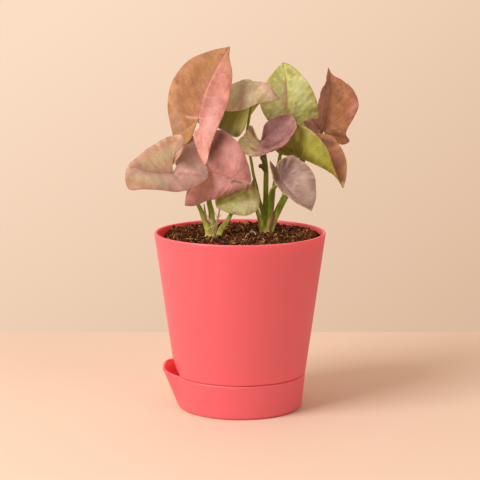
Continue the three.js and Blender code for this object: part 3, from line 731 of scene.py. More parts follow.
def leaf_tint(leaf, sheet, face, seed):
    """Colours of one face of a sheet: the half's own colour, mottled, then blotches, washes, veins, midrib
    and margin. A blotch colour shows in random patches. A wash is a streak, a stain, painted shade or shadow,
    or a painted highlight: a colour that fades by a bell curve beside the line between two places, each
    given as its share across a half, below 0 on the left one, and its share along the leaf."""
    points = sheet[face]
    half = 0 if sheet["turn"] == 1 else 1
    own, other = LEAF_PAINTS[leaf[face][half]], LEAF_PAINTS[leaf[face][1 - half]]
    tint = np.broadcast_to(np.array(own), points.shape).copy()
    tint = blended(tint, other, 0.5 * (1 - smooth(sheet["from_rib"] / MEETING)))
    tint *= 1 + 0.10 * mottle(points, 9, seed)[..., None] + 0.07 * mottle(points, 3, seed + 1)[..., None]
    warmth = mottle(points, 5, seed + 3)[..., None]
    tint *= 1 + warmth * np.array([0.012, -0.006, -0.025])
    for colour, size, share in leaf["blotches"]:
        seed += 1
        share = share if face == "top" else 0.3 * share
        tint = blended(tint, LEAF_PAINTS[colour], share * smooth(mottle(points, size, seed + 3) - 0.1))
    for where, (u0, t0), (u1, t1), width, colour, share in leaf["washes"]:
        if where != face:
            continue
        # A wash with both its ends on one half leaves the other half as it is.
        if (u0 < 0 and u1 < 0 and half == 1) or (u0 > 0 and u1 > 0 and half == 0):
            continue
        ends = []
        for u, t in ((u0, t0), (u1, t1)):
            grid = leaf["sheets"][0 if u < 0 else 1][face]
            ends.append(grid[np.abs(ROWS - t).argmin(), np.abs(COLUMNS - abs(u)).argmin()])
        reach = ends[1] - ends[0]
        place = np.clip((points - ends[0]) @ reach / max(reach @ reach, 1e-9), 0, 1)
        distance = np.linalg.norm(points - ends[0] - place[..., None] * reach, axis=-1)
        tint = blended(tint, LEAF_PAINTS[colour], share * np.exp(-((distance / width) ** 2)))
    if face == "top":
        tint = blended(tint, LEAF_PAINTS[leaf["veins"]], leaf["vein_share"] * sheet["vein"])
        tint = blended(tint, LEAF_PAINTS[leaf["midrib"]], leaf["rib_share"] * sheet["groove"])
    else:
        tint = blended(tint, LEAF_PAINTS[leaf["under_veins"]], 0.4 * sheet["vein"] + 0.6 * sheet["groove"])
    edging = MARGIN_SHARE * np.exp(-((sheet["rim"] / MARGIN_WIDTH) ** 2))
    return blended(tint, LEAF_PAINTS[leaf["margin"]], edging)


def blade_finish(name, roughness):
    """Living blade: its own colour with a fine net of veinlets and pale specks, a satin skin, and a little
    light scattered inside it."""
    material, shader = new_material(name, Roughness=roughness, Specular_IOR_Level=0.4, Subsurface_Weight=0.12,
                                    Subsurface_Radius=(0.0012, 0.0007, 0.0004), Subsurface_Scale=1)
    tree = material.node_tree
    place = new_node(tree, "ShaderNodeTexCoord")
    own = new_node(tree, "ShaderNodeAttribute", attribute_name="tint")
    net = new_node(tree, "ShaderNodeTexVoronoi", feature="DISTANCE_TO_EDGE", Scale=620)
    fade = ramp(tree, (0, (0.88, 0.87, 0.86)), (0.12, (1, 1, 1)))
    speck = new_node(tree, "ShaderNodeTexNoise", Scale=1100, Detail=3)
    tone = ramp(tree, (0.3, (0.93, 0.93, 0.93)), (0.72, (1.05, 1.05, 1.05)))
    netted, specked = product(tree), product(tree)
    skin = new_node(tree, "ShaderNodeBump", Strength=0.25, Distance=0.0002)
    linked(tree,
           (place, "Object", net, "Vector"),
           (place, "Object", speck, "Vector"),
           (net, "Distance", fade, "Fac"),
           (speck, "Fac", tone, "Fac"),
           (own, "Color", netted, COLOUR_A),
           (fade, "Color", netted, COLOUR_B),
           (netted, COLOUR_OUT, specked, COLOUR_A),
           (tone, "Color", specked, COLOUR_B),
           (specked, COLOUR_OUT, shader, "Base Color"),
           (net, "Distance", skin, "Height"),
           (skin, "Normal", shader, "Normal"))
    return material


LEAF_PAINTS = {
    "cream": paint(244, 238, 190), "butter": paint(230, 220, 120), "lime": paint(190, 190, 70),
    "celery": paint(216, 214, 132), "pear": paint(190, 192, 112), "sage": paint(190, 192, 140),
    "olive": paint(152, 146, 56), "moss": paint(140, 134, 40), "fern": paint(104, 92, 20),
    "straw": paint(208, 186, 132), "putty": paint(192, 172, 134), "buff": paint(192, 152, 120),
    "tan": paint(200, 150, 104), "ochre": paint(186, 140, 66), "rust": paint(168, 110, 72),
    "bark": paint(130, 90, 56), "umber": paint(96, 60, 34), "taupe": paint(160, 114, 92),
    "clay": paint(174, 118, 90), "brick": paint(160, 92, 72), "coral": paint(198, 132, 116),
    "salmon": paint(232, 162, 140), "flush": paint(210, 148, 142), "blush": paint(244, 206, 190),
    "rose": paint(206, 146, 140), "dusk": paint(192, 148, 134), "dove": paint(188, 166, 152),
    "heather": paint(156, 124, 110), "mauve": paint(172, 126, 122), "wine": paint(156, 102, 98),
    "plum": paint(134, 84, 80), "aubergine": paint(86, 48, 42),
}
# One entry for each leaf. fold is the fold's radius by the stalk and at the tip, camber how far the halves
# bow, and quilt the height of the quilting. rib, left and right are points of the midrib and the two edges,
# in millimetres, from the stalk to the tip. Colours in pairs are for the left and the right half. A blotch
# is its colour, size and share, and a wash its face, two places, width, colour and share.
LEAVES = {
    "leaf_tall": {
        "slot": "blade_bronze", "fold": (4, 16), "camber": [1, 1], "sinus": [[-0.5, 0, 0], [2.5, 0, 0]],
        "quilt": 0.2, "vein_share": 0.4, "rib_share": 0.12,
        "rib": [[-27.5, -4, 194.5], [-24.5, -3, 209], [-20, -1, 219.5], [-14, 1, 230.5], [-6.5, 3, 242]],
        "left": [[-30.5, -7, 186.5], [-32, -9, 182.5], [-35, -11, 179], [-39, -11.5, 178],
                 [-43.5, -11, 183.5], [-46, -11, 193.5], [-47.5, -11, 205], [-44, -9, 220.5],
                 [-34, -6, 233], [-20.5, -1, 239]],
        "right": [[-30, -8, 186.5], [-30.5, -11, 183], [-29, -14.5, 178], [-26, -19, 171],
                  [-22.5, -23, 166], [-18.5, -16.5, 180], [-12, -10.5, 195], [-7, -6, 209],
                  [-5, -2, 224.5], [-7, 2, 235]],
        "top": ["tan", "coral"], "under": ["buff", "buff"],
        "veins": "salmon", "midrib": "salmon", "under_veins": "straw", "margin": "rust",
        "blotches": [("rust", 7, 0.3), ("salmon", 6, 0.3)],
        "washes": [
            ("top", (-0.6, 0.75), (-0.6, 0.5), 4, "rust", 0.5),
            ("top", (-0.4, 0.85), (-0.65, 0.7), 3, "ochre", 0.5),
            ("top", (-0.8, 0.35), (-0.8, 0.25), 3, "dove", 0.4),
            ("top", (-0.8, 0.1), (-0.4, 0.15), 4, "ochre", 0.6),
            ("top", (-0.15, 0.8), (-0.1, 0.55), 3, "coral", 0.5),
            ("top", (-0.05, 0.4), (-0.4, 0.35), 0.8, "blush", 0.8),
            ("top", (-0.9, 0.58), (-0.88, 0.57), 0.9, "umber", 0.7),
            ("top", (0.15, 0.75), (0.15, 0.45), 3, "brick", 0.6),
            ("top", (0.6, 0.65), (0.5, 0.3), 4, "rose", 0.5),
            ("top", (0.3, 0.95), (0.9, 0.85), 2.5, "tan", 0.5),
        ],
    },
    "leaf_left": {
        "slot": "blade_mauve", "fold": (10, 8), "camber": [2, 2], "sinus": [[2.4, 0, 0], [-4.8, 0, 0]],
        "quilt": 0.15, "vein_share": 0.2, "rib_share": 0.25,
        "rib": [[-45, -24, 160], [-53.5, -29, 161.5], [-60.5, -33, 164], [-67, -36.5, 166.5],
                [-73.5, -38.5, 164.5]],
        "left": [[-42.5, -19, 166.5], [-40, -14, 172.5], [-35.5, -8.5, 180], [-32.5, -5.5, 183.5],
                 [-28.5, -5, 182], [-25, -7, 176], [-23, -11, 167.5], [-21, -17, 158.5], [-24, -21, 154.5],
                 [-34.5, -26, 150.5], [-41, -29, 149.5], [-51.5, -35, 151.5],
                 [-62.5, -39, 152.5], [-71, -40, 152.5], [-73.5, -40, 158]],
        "right": [[-43.5, -22, 166.5], [-41, -22, 169.5], [-38, -21, 174], [-36.5, -19, 179.5],
                  [-37, -17, 184.5], [-40.5, -17, 186], [-52, -20, 182], [-63, -26, 175], [-71.5, -35, 168]],
        "top": ["dusk", "buff"], "under": ["putty", "putty"],
        "veins": "rose", "midrib": "mauve", "under_veins": "straw", "margin": "clay",
        "blotches": [("sage", 6, 0.12), ("rose", 5, 0.25)],
        "washes": [
            # The mauve line beside the midrib towards the tip is the midrib's mauve, deepened as painted
            # shade in the fold.
            ("top", (-0.1, 0.8), (-0.1, 0.55), 1.5, "mauve", 0.6),
            ("top", (-0.5, 0.9), (-0.5, 0.7), 4, "sage", 0.4),
            # The bark band by the notch is painted shadow cast by leaf_tall.
            ("top", (-0.8, 0.15), (-0.5, 0.3), 5, "bark", 0.6),
            ("top", (-0.2, 0.45), (-0.8, 0.45), 1.2, "plum", 0.4),
            ("top", (0.4, 0.7), (0.6, 0.35), 4, "sage", 0.35),
            ("top", (0.85, 0.6), (0.9, 0.35), 1.5, "clay", 0.5),
            ("top", (0.9, 0.25), (0.5, 0.15), 2, "rose", 0.4),
            ("top", (-0.95, 0.95), (-0.9, 0.8), 1.5, "ochre", 0.5),
        ],
    },
    "leaf_salmon": {
        "slot": "blade_pink", "fold": (14, 12), "camber": [2, 3],
        "quilt": 0.15, "vein_share": 0.2, "rib_share": 0.3,
        "rib": [[-4, -11.5, 156], [-10.5, -13, 160], [-19, -12, 162], [-27, -10, 157], [-33, -9.5, 148],
                [-36.5, -11, 138]],
        "left": [[2, -9.5, 154.5], [6.5, -7.5, 153], [5.5, -8, 149], [-1.5, -9, 147.5], [-13, -11, 143.5],
                 [-23, -10, 140.5], [-31, -10, 137.5]],
        "right": [[2, -8, 153.5], [7, -5, 152.5], [6.5, -5, 161], [2.5, -5, 173], [-3.5, -4, 181.5],
                  [-11, -2.5, 187], [-22, -1.5, 184], [-29, -2, 169.5], [-34, -6, 151]],
        "top": ["rose", "flush"], "under": ["buff", "buff"],
        "veins": "salmon", "midrib": "coral", "under_veins": "straw", "margin": "clay",
        "blotches": [("rose", 6, 0.3), ("salmon", 4, 0.15)],
        "washes": [
            # The umber band along the upper left is painted shadow cast by leaf_tall, over a little brown
            # stain.
            ("top", (0.9, 0.45), (0.5, 0.65), 3.5, "umber", 0.8),
            ("top", (0.6, 0.3), (0.4, 0.5), 6, "rose", 0.35),
            ("top", (-0.3, 0.7), (-0.6, 0.8), 4, "clay", 0.6),
            ("top", (-0.5, 0.4), (-0.8, 0.5), 3, "rose", 0.3),
            ("top", (-0.25, 0.4), (-0.2, 0.2), 0.8, "bark", 0.8),
            ("top", (-0.2, 0.2), (-0.5, 0.15), 0.8, "umber", 0.8),
            ("top", (-0.5, 0.2), (-0.8, 0.2), 1.2, "moss", 0.5),
            ("top", (-0.9, 0.15), (-1, 0.2), 1, "aubergine", 0.9),
        ],
    },
    "leaf_cream": {
        "slot": "blade_green", "fold": (6, 6), "camber": [2, 2],
        "quilt": 0.05, "vein_share": 0.15, "rib_share": 0.7,
        "rib": [[6.5, 5, 149.5], [0, -1, 144.5], [-8, -5, 141], [-16, -6, 137.5]],
        "left": [[9.5, 8, 154.5], [11.5, 8, 146.5], [13.5, 6, 140.5], [13, 3.5, 136.5], [10.5, 0.5, 132.5],
                 [6, -2, 130.5], [0, -4.5, 130.5], [-6.5, -6, 132], [-12.5, -7, 134.5], [-15.5, -7, 136]],
        "right": [[7, 6, 154], [2.5, 3.5, 151], [-3.5, 0, 148.5], [-10, -3.5, 145], [-16, -5, 141.5],
                  [-16.5, -5.5, 139.5]],
        "top": ["celery", "olive"], "under": ["sage", "sage"],
        "veins": "sage", "midrib": "straw", "under_veins": "celery", "margin": "straw",
        "blotches": [("moss", 5, 0.15), ("cream", 6, 0.3)],
        "washes": [
            # The two moss bands along the top, under the salmon leaf's lower edge, are painted shadow of that
            # leaf.
            ("top", (0.4, 0.9), (0.4, 0.6), 3, "moss", 0.5),
            ("top", (-0.1, 0.6), (-0.3, 0.6), 2.5, "moss", 0.6),
            ("top", (-0.7, 0.7), (-0.8, 0.4), 3, "cream", 0.7),
            ("top", (-0.3, 0.1), (-0.4, 0.4), 1.5, "ochre", 0.6),
            # The umber streak at the top of the right edge is painted shade.
            ("top", (-0.9, 0), (-0.6, 0.1), 1.5, "umber", 0.8),
        ],
    },
    "leaf_arch": {
        "slot": "blade_green", "fold": (5, 8), "camber": [3, 3],
        "quilt": 0.08, "vein_share": 0.15, "rib_share": 0.7,
        "rib": [[9.5, 16, 220], [16, 14, 220], [21.5, 11, 218], [25.5, 9, 213], [27, 8, 206]],
        "left": [[1.5, 21, 213.5], [-11, 22, 201], [-18, 22, 190.5], [-12, 21, 184.5], [-1.5, 19, 180.5],
                 [6, 18, 193], [15, 16, 205], [22, 12, 208]],
        "right": [[1.5, 13, 219.5], [-9.5, 10, 214], [-15.5, 7, 205.5], [-10.5, 6, 199.5], [1.5, 4, 200],
                  [11.5, 4, 204], [21.5, 6, 206]],
        # The left half's dark fern underside is painted shade: its lobes hang in shade.
        "top": ["putty", "putty"], "under": ["fern", "moss"],
        "veins": "straw", "midrib": "dusk", "under_veins": "olive", "margin": "straw",
        "blotches": [("moss", 2, 0.2), ("mauve", 5, 0.25)],
        "washes": [
            ("top", (0.5, 0.5), (0.8, 0.6), 3, "mauve", 0.5),
            ("top", (0.6, 0.3), (0.8, 0.4), 4, "sage", 0.5),
            ("top", (0.2, 0.7), (0.4, 0.9), 3, "rose", 0.5),
            ("top", (0.2, 0.4), (0.1, 0.6), 1.2, "taupe", 0.3),
            # Under the hanging lobes: a fern patch of painted shade, and a butter patch of painted light
            # where light reaches them.
            ("under", (-0.7, 0.4), (-0.6, 0.5), 4, "fern", 0.8),
            ("under", (-0.8, 0.7), (-0.9, 0.55), 4.5, "butter", 0.7),
        ],
    },
    "leaf_green": {
        "slot": "blade_green", "fold": (4, 8), "camber": [1, 1],
        "quilt": 0.12, "vein_share": 0.22, "rib_share": 0.7,
        "rib": [[31.5, 30, 191.5], [32, 31, 202.5], [31.5, 32, 214.5], [29.5, 36, 230]],
        "left": [[29.5, 29, 187.5], [21.5, 26, 188.5], [14, 24, 200.5], [13.5, 24, 210.5],
                 [19.5, 27, 219.5], [26, 33, 227]],
        "right": [[34.5, 30, 187], [46.5, 30, 182], [53, 31, 188], [52.5, 31, 202.5], [48, 31, 213.5],
                  [40, 33, 223.5], [33.5, 35.5, 228.5]],
        "top": ["pear", "pear"], "under": ["pear", "pear"],
        "veins": "straw", "midrib": "tan", "under_veins": "sage", "margin": "moss",
        "blotches": [("cream", 4, 0.4), ("lime", 6, 0.35)],
        "washes": [
            ("top", (-0.05, 0.6), (-0.05, 0.8), 2, "clay", 0.6),
            ("top", (0.05, 0.2), (0.05, 0.6), 1.2, "clay", 0.6),
            ("top", (0.4, 0.9), (0.6, 0.85), 2, "moss", 0.7),
            ("top", (0.7, 0.75), (0.6, 0.6), 4, "sage", 0.6),
            ("top", (-0.6, 0.3), (-0.4, 0.75), 3.5, "sage", 0.4),
            ("top", (0.3, 0.3), (0.8, 0.5), 1, "moss", 0.4),
        ],
    },
    "leaf_plum": {
        "slot": "blade_mauve", "fold": (7, 7), "camber": [-4, -2],
        "quilt": 0.1, "vein_share": 0.2, "rib_share": 0.4,
        "rib": [[13.5, 12, 177], [12, 4, 174.5], [10, -3, 172], [8, -8, 170.5]],
        "left": [[15.5, 14, 181.5], [16.5, 16, 189], [25, 17, 194.5], [34, 14, 196], [37.5, 8, 190.5],
                 [34.5, 2, 182.5], [29, -1.5, 177.5], [22, -4, 174.5], [14, -7, 171]],
        "right": [[10, 11, 180.5], [8.5, 9, 187.5], [6.5, 8, 189.5], [4, 6, 184.5], [-0.5, 4, 180.5],
                  [0.5, 1, 175], [4.5, -4, 171]],
        "top": ["wine", "straw"], "under": ["mauve", "putty"],
        "veins": "mauve", "midrib": "plum", "under_veins": "dove", "margin": "mauve",
        "blotches": [("plum", 5, 0.3), ("dove", 4, 0.2)],
        "washes": [
            # The dove band along the left edge is a painted highlight.
            ("top", (-0.9, 0.15), (-0.9, 0.4), 2, "dove", 0.4),
            ("top", (-0.5, 0.35), (-0.8, 0.5), 2.5, "plum", 0.5),
            ("top", (-0.2, 0.65), (-0.6, 0.55), 1.5, "aubergine", 0.5),
            ("top", (-0.3, 0.75), (-0.9, 0.65), 1.2, "rose", 0.6),
            ("top", (0.9, 0.7), (0.7, 0.5), 3, "cream", 0.3),
            ("top", (0.3, 0.7), (0.1, 0.8), 1.5, "plum", 0.8),
            ("top", (1, 0.1), (1, 0.3), 1.8, "plum", 0.7),
        ],
    },
    "leaf_folded": {
        "slot": "blade_green", "fold": (2.5, 4), "camber": [-1, -1],
        "quilt": 0.12, "vein_share": 0.3, "rib_share": 0.7,
        "rib": [[41, 13, 166.5], [49, 10, 163], [57.5, 7, 159], [65, 3, 153.5], [69, 1, 148]],
        "left": [[42, 20, 172.5], [46, 23, 180], [53.5, 24, 182.5], [61.5, 22, 181], [68, 17, 174],
                 [71.5, 10, 164.5], [71, 5, 154.5]],
        "right": [[33.5, 16, 168], [25, 21, 170], [23, 23, 176.5], [32, 21, 185], [39, 16, 189],
                  [49.5, 8, 184.5], [58.5, 2, 173], [64, 0, 157.5]],
        "top": ["rust", "rust"], "under": ["olive", "olive"],
        "veins": "clay", "midrib": "clay", "under_veins": "lime", "margin": "ochre",
        "blotches": [("fern", 4, 0.15)],
        "washes": [
            # The fern band at the upper left of the underside is painted shade.
            ("under", (0.9, 0.15), (0.4, 0.2), 2.5, "fern", 0.8),
            ("under", (0.2, 0.3), (0.1, 0.6), 1.8, "fern", 0.4),
            ("under", (0.5, 0.5), (0.5, 0.7), 3, "lime", 0.4),
            ("under", (0.8, 0.4), (0.6, 0.4), 2, "butter", 0.6),
            ("top", (-0.8, 0.35), (-0.9, 0.45), 2, "umber", 0.7),
            ("top", (-0.7, 0.55), (-0.7, 0.7), 2.5, "rose", 0.3),
            ("top", (-0.5, 0.95), (-0.8, 1), 1.2, "sage", 0.8),
        ],
    },
    "leaf_bronze": {
        "slot": "blade_bronze", "fold": (3, 8), "camber": [1, 1],
        "quilt": 0.16, "vein_share": 0.25, "rib_share": 0.7,
        "rib": [[56, 30, 183.5], [58.5, 29, 196.5], [60.5, 29, 206], [61, 31, 215.5], [60, 34, 226.5]],
        "left": [[52, 28, 181], [43, 24, 190.5], [48, 24, 192.5], [52.5, 23, 193], [52.5, 20, 202.5],
                 [54, 20, 210], [57.5, 25, 216.5], [59, 31, 222.5]],
        "right": [[64, 29, 180.5], [69.5, 27, 174.5], [74.5, 26, 177], [72, 27, 182], [77.5, 28, 193],
                  [80.5, 28, 202], [76.5, 30, 212], [69.5, 32, 218], [63, 33, 221.5]],
        "top": ["taupe", "rust"], "under": ["buff", "buff"],
        "veins": "clay", "midrib": "plum", "under_veins": "straw", "margin": "brick",
        "blotches": [("brick", 6, 0.35), ("umber", 3, 0.25), ("tan", 4, 0.2)],
        "washes": [
            ("top", (-0.8, 0.65), (-0.5, 0.5), 2, "mauve", 0.5),
            ("top", (-0.3, 0.6), (-0.4, 0.4), 1.2, "umber", 0.6),
            # The tan band on the right half is a painted highlight.
            ("top", (0.2, 0.75), (0.3, 0.5), 3, "tan", 0.4),
            ("top", (0.9, 0.6), (0.9, 0.45), 2.5, "coral", 0.6),
            ("top", (-0.9, 0.2), (-0.8, 0.1), 2.5, "mauve", 0.7),
            ("top", (0.5, 0.25), (0.9, 0.2), 2.5, "umber", 0.7),
            ("top", (0.4, 0.85), (0.5, 0.7), 2.5, "bark", 0.4),
        ],
    },
    "leaf_mauve": {
        "slot": "blade_mauve", "fold": (9, 12), "camber": [1, 1], "sinus": [[0, 0, 0], [1.5, 0, 0]],
        "quilt": 0.07, "vein_share": 0.2, "rib_share": 0.15,
        "rib": [[26.5, -2, 153], [32, -8, 147.5], [39.5, -11.5, 140.5], [47.5, -11, 134.5]],
        "left": [[24.5, -2.5, 164.5], [26.5, -0.5, 167], [30.5, 1, 169], [35, 1, 170], [40, 0, 167],
                 [44.5, -1.5, 164], [48, -3.5, 160], [50, -5, 154.5], [50.5, -7, 146.5], [50, -9, 141]],
        "right": [[24, -5.5, 163], [21.5, -6.5, 164.5], [19.5, -7, 167.5], [20, -8.5, 162.5],
                  [21, -9.5, 158], [23, -10, 153], [26, -11, 148.5], [31, -12, 144.5], [37, -13, 140],
                  [43.5, -12.5, 136.5]],
        "top": ["heather", "heather"], "under": ["putty", "putty"],
        "veins": "dove", "midrib": "dove", "under_veins": "dove", "margin": "straw",
        "blotches": [("dove", 4, 0.25), ("plum", 7, 0.2)],
        "washes": [
            # The umber band on the left lobe by the notch is partly the leaf's own purple-brown, partly
            # painted shade in the rolled sinus.
            ("top", (0.9, 0.1), (0.7, 0.35), 3, "umber", 0.9),
            ("top", (-0.9, 0.15), (-0.4, 0.2), 1.5, "aubergine", 0.9),
            ("top", (-0.8, 0.25), (-0.3, 0.35), 2.5, "aubergine", 0.7),
            ("top", (-0.15, 0.45), (-0.25, 0.6), 1.5, "plum", 0.7),
            ("top", (-0.7, 0.55), (-0.7, 0.85), 3, "dove", 0.5),
            ("top", (0.6, 0.55), (0.2, 0.75), 2, "plum", 0.4),
        ],
    },
}

finishes = {slot: blade_finish(slot, roughness) for slot, roughness in [
    ("blade_bronze", 0.5), ("blade_pink", 0.5), ("blade_mauve", 0.52), ("blade_green", 0.48)]}
for number, (name, leaf) in enumerate(LEAVES.items()):
    leaf["sheets"] = blade(leaf)
    grid = grid_faces(len(ROWS), len(COLUMNS))
    shells, tints = [], []
    for sheet in leaf["sheets"]:
        for face in ("top", "under"):
            out = (sheet["turn"] == 1) == (face == "top")
            shells.append((sheet[face].reshape(-1, 3), grid[:, ::-1] if out else grid))
            tints.append(leaf_tint(leaf, sheet, face, 10 * number).reshape(-1, 3))
    points, faces = joined(*shells)
    made = new_object(f"{name}_blade", points, faces, finishes[leaf["slot"]], np.concatenate(tints))
    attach(made, "root")
    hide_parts(name)

# ---- Crowns and leaf stalks ----
# Two fleshy crowns that stand in the mix, each a bundle of leaf stalks that sheathe each other at the foot.
# The withered sheaths, the stub and the fine aerial roots grow from them too.

CROWN_DEPTH = 12
STALK_SIDES = 20
SLIM_SIDES = 12
FOOT_GIRTH = 2.4
MIDDLE_GIRTH = 1.4
BLADE_GIRTH = 1.1
STALK_GREEN = paint(146, 164, 34)
STALK_PALE = paint(236, 228, 116)
STALK_OLIVE = paint(116, 112, 22)
CROWN_STRAW = paint(196, 176, 112)
CROWN_GREEN = paint(204, 196, 104)
STUB_OLIVE = paint(104, 104, 24)
ROOT_BUFF = paint(214, 188, 144)
SHEATH_TIP = 0.35
STUB_RADII = (1.9, 1.5)
ROOT_RADII = (0.36, 0.3)


def tube(route, radius_at, steps, sides, groove=0):
    """A round stem along a smooth curve, with domed ends. radius_at(s) is its radius from the foot (0) to
    the top (1). groove flattens the side that faces the front by this share, as a bell curve."""
    s = (1 - np.cos(np.linspace(0, np.pi, steps))) / 2
    spine = along(route, s)
    length = np.linalg.norm(np.diff(spine, axis=0), axis=1).sum()
    heading = unit(np.gradient(spine, s, axis=0))
    side = unit(np.cross(heading, [0.15, 1, 0.1]))
    front = np.cross(heading, side)
    angle = np.arange(sides) / sides * 2 * np.pi
    radius = radius_at(s)
    end = np.minimum(s, 1 - s) * length / np.maximum(radius, 1e-6)
    radius = radius * np.sqrt(1 - (1 - np.minimum(end, 1)) ** 2)
    shape = 1 - groove * np.exp(-((((angle - np.pi / 2 + np.pi) % (2 * np.pi) - np.pi) / 0.6) ** 2))
    ring = (side[:, None] * np.cos(angle)[:, None] + front[:, None] * np.sin(angle)[:, None]) * shape[:, None]
    points = spine[:, None] + radius[:, None, None] * ring
    return (points.reshape(-1, 3), grid_faces(steps, sides, around=True)), np.repeat(s, sides)


def stalk_radius(girth):
    """A stalk's radius: it slims by the S curve from where it sheathes the crown to the middle, and by the
    square of the way along from there to the blade."""
    def radius_at(s):
        """Radius at a share of the way from the foot to the blade."""
        slim = smooth(s / 0.45)
        return girth * (FOOT_GIRTH + (MIDDLE_GIRTH - FOOT_GIRTH) * slim
                        + (BLADE_GIRTH - FOOT_GIRTH + (FOOT_GIRTH - MIDDLE_GIRTH) * slim) * s * s)
    return radius_at


def stalk_tint(s, points, seed):
    """A stalk's colour: cream at the foot, green above it and olive towards the blade, mottled along."""
    tint = np.broadcast_to(np.array(STALK_GREEN), (len(s), 3)).copy()
    tint = blended(tint, STALK_PALE, 0.8 - 0.8 * smooth((points[:, 2] - MIX_SURFACE) / 18))
    tint = blended(tint, STALK_OLIVE, smooth((s - 0.45) / 0.5))
    return tint * (1 + 0.12 * mottle(points, 5, seed)[:, None])


# Feet are x, y and radius. A stalk is its leaf, its girth and its way up, in millimetres. A sheath is its
# way, its colour and its radius at the foot, and stubs and roots are only ways.
CROWNS = {
    "stems_left": {
        "feet": [[-19.5, -7, 4.2], [-15.5, -7.5, 2.5]],
        "stalks": [
            ["leaf_left", 1, [[-20, -7, 112.5], [-21.5, -7.5, 122], [-24, -6.5, 128.5], [-26, -5, 134],
                              [-29, -4, 139.5], [-35, -3.5, 148], [-41, -12, 155], [-44, -20.5, 158]]],
            ["leaf_tall", 1.1, [[-19.5, -6.5, 112.5], [-19, -4, 132.5], [-20.5, -2, 138.5],
                                [-21.5, 1.5, 153.5], [-22.5, 2.5, 173.5], [-23.5, 4.5, 184],
                                [-25.5, 3, 190.5], [-27, -1, 193.2]]],
            ["leaf_salmon", 0.9, [[-16, -8, 112.5], [-12.5, -6, 121.5], [-8.5, -3, 126.5], [-5.5, 0, 132],
                                  [-2.5, 4, 141.5], [-2.5, 4, 149], [-3.5, -6.5, 155]]],
        ],
        "sheaths": [[[[-20, -7, 112.5], [-22.5, -7.5, 129], [-24, -5.5, 138.5]], "clay", 1.7],
                    [[[-18.5, -7, 112.5], [-15, -6, 127.5], [-13.5, -4.5, 135]], "tan", 1.7]],
        "stubs": [],
        "roots": [[[-21, -10.5, 128], [-18, -12, 126.5], [-15, -11, 125.5], [-13, -9, 127]],
                  [[-16.5, -9, 133], [-15, -10.5, 129.5], [-13.5, -9.5, 127.5]],
                  [[-18.5, -10.5, 119.5], [-17, -12, 126], [-20, -12, 129], [-23, -8, 132.5]],
                  [[-17, -10, 121], [-15, -11, 128.5], [-12.5, -9, 132]],
                  [[-22, -10, 121], [-19, -12, 124], [-16, -11.5, 125], [-13.5, -7.5, 126.5]]],
    },
    "stems_right": {
        "feet": [[18, 13, 5]],
        "stalks": [
            ["leaf_cream", 1, [[17, 12.5, 112.5], [12.5, 9.5, 128.5], [9.5, 8, 139], [7, 7.5, 148]]],
            ["leaf_arch", 0.72, [[17.5, 13, 112.5], [15, 13, 131], [12.5, 12.5, 140], [11, 12, 148],
                                 [9, 12.5, 156], [7.5, 13, 165], [4.5, 13.5, 180.5], [6.5, 14, 196],
                                 [8, 13.5, 208], [9, 15, 214]]],
            ["leaf_plum", 1.35, [[18, 13, 112.5], [17.5, 14, 131.5], [17.5, 14, 148.5], [17.5, 14, 158.5],
                                [16.5, 14, 167], [15.5, 14, 172.5], [14, 14, 175]]],
            ["leaf_green", 0.95, [[18.5, 13.5, 112.5], [21.5, 15.5, 133.5], [23.5, 18, 150], [27, 22, 166.5],
                                  [29, 27, 178.5], [31.5, 32, 188.5]]],
            ["leaf_folded", 1, [[19, 12.5, 112.5], [22.5, 11.5, 123.5], [25, 11.5, 132], [28.5, 11, 139.5],
                                [31, 11, 145], [36.5, 12.5, 156], [40, 13.5, 163.5]]],
            ["leaf_bronze", 1, [[19, 13, 112.5], [22, 14, 122], [25.5, 16, 129], [28.5, 17.5, 134.5],
                                [31.5, 18, 140], [34, 19, 145], [41.5, 23, 161], [49.5, 28, 173.5],
                                [55, 31.5, 180.5]]],
            ["leaf_mauve", 1, [[18.5, 12, 112.5], [20, 9, 130], [20.5, 7, 138], [20.5, 4.5, 143],
                               [21.5, 2, 147], [23.5, 1.5, 149], [25.5, 1, 151]]],
        ],
        "sheaths": [[[[17, 12, 112.5], [13.5, 8.5, 125], [11.5, 7, 134]], "lime", 2.4],
                    [[[18.5, 12, 112.5], [21, 9, 124.5], [21.5, 8.5, 132.5], [21, 8, 142]], "clay", 1.7]],
        "stubs": [[[17.5, 13.5, 158], [15.5, 12.5, 161], [12.5, 11.5, 162]],
                  [[17, 13, 161], [16, 12, 165.5], [14, 11.5, 168.5]]],
        "roots": [[[9, 17, 117], [8, 7, 118.8], [6.5, -1.5, 117.8], [4.5, -12, 118.8], [3.5, -20, 117.2]],
                  [[7, 2, 118], [9.5, -1, 118.8], [10.5, -5, 117.4]]],
    },
}


def foot_solid(x, y, radius):
    """A crown's foot: a post in the mix, ringed by old leaf scars as shallow waves, with a domed top."""
    def profile(angle):
        """The foot's cut, from the bottom of the post over the dome to its crest."""
        rows = [[0, MIX_SURFACE - CROWN_DEPTH]]
        for z in np.linspace(-CROWN_DEPTH, 0, 14):
            rows.append([radius * (1 - 0.04 * np.sin(z * 2.2) ** 2), MIX_SURFACE + z])
        for turn in np.linspace(0.08, np.pi / 2, 12):
            rows.append([radius * np.cos(turn), MIX_SURFACE + 0.6 * radius * np.sin(turn)])
        return stacked(rows, angle)
    points, faces = turned(profile, 32)
    return points + [x, y, 0], faces


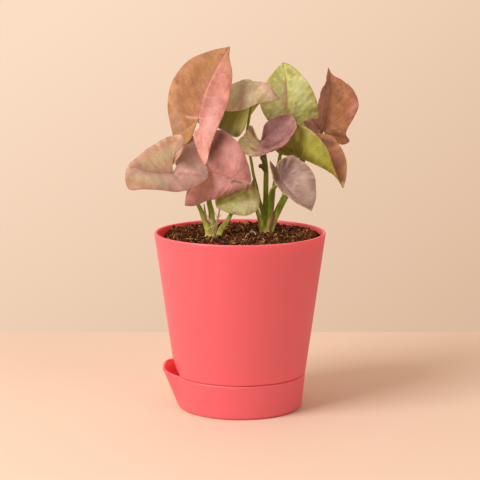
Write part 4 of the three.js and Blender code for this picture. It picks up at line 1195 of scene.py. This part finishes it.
def stalk_finish(name):
    """Fresh stalk: its own colour with fine lengthwise streaks and a satin skin."""
    material, shader = new_material(name, Roughness=0.42, Specular_IOR_Level=0.45, Subsurface_Weight=0.1,
                                    Subsurface_Radius=(0.0012, 0.001, 0.0004), Subsurface_Scale=1)
    tree = material.node_tree
    place = new_node(tree, "ShaderNodeTexCoord")
    stretch = new_node(tree, "ShaderNodeMapping", Scale=(1, 1, 0.12))
    own = new_node(tree, "ShaderNodeAttribute", attribute_name="tint")
    streak = new_node(tree, "ShaderNodeTexNoise", Scale=1500, Detail=3)
    tone = ramp(tree, (0.3, (0.72, 0.74, 0.7)), (0.7, (1.12, 1.12, 1.12)))
    mixed = product(tree)
    skin = new_node(tree, "ShaderNodeBump", Strength=0.3, Distance=0.0002)
    linked(tree,
           (place, "Object", stretch, "Vector"),
           (stretch, "Vector", streak, "Vector"),
           (streak, "Fac", tone, "Fac"),
           (own, "Color", mixed, COLOUR_A),
           (tone, "Color", mixed, COLOUR_B),
           (mixed, COLOUR_OUT, shader, "Base Color"),
           (streak, "Fac", skin, "Height"),
           (skin, "Normal", shader, "Normal"))
    return material


stalk_skin = stalk_finish("stalk")
for number, (name, crown) in enumerate(CROWNS.items()):
    solids, tints = [], []
    for x, y, radius in crown["feet"]:
        solid = foot_solid(x, y, radius)
        solids.append(solid)
        rise = smooth((solid[0][:, 2] - MIX_SURFACE) / 6)
        tints.append(blended(np.broadcast_to(np.array(CROWN_STRAW), solid[0].shape), CROWN_GREEN, rise))
    for k, (blade_name, girth, route) in enumerate(crown["stalks"]):
        base, up = LEAVES[blade_name]["stalk_end"]
        onward = unit(np.array(LEAVES[blade_name]["rib"][1]) - base)
        route = [*route, base - 1.5 * girth * up, base + 2.5 * onward - 1.2 * up]
        solid, s = tube(route, stalk_radius(girth), steps=80, sides=STALK_SIDES, groove=0.12)
        solids.append(solid)
        tints.append(stalk_tint(s, solid[0], 100 + 10 * number + k))
    slim_parts = [(way, LEAF_PAINTS[colour], (girth, SHEATH_TIP)) for way, colour, girth in crown["sheaths"]]
    slim_parts += [(way, STUB_OLIVE, STUB_RADII) for way in crown["stubs"]]
    slim_parts += [(way, ROOT_BUFF, ROOT_RADII) for way in crown["roots"]]
    for route, colour, (start, end) in slim_parts:
        solid, _ = tube(route, lambda s: start + (end - start) * s, steps=24, sides=SLIM_SIDES)
        solids.append(solid)
        tints.append(np.array(colour) * (1 + 0.15 * mottle(solid[0], 3, 7)[:, None]))
    stems_points, stems_faces = joined(*solids)
    stems = new_object(f"{name}_stalks", stems_points, stems_faces, stalk_skin, np.concatenate(tints))
    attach(stems, "root")
    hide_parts(name)
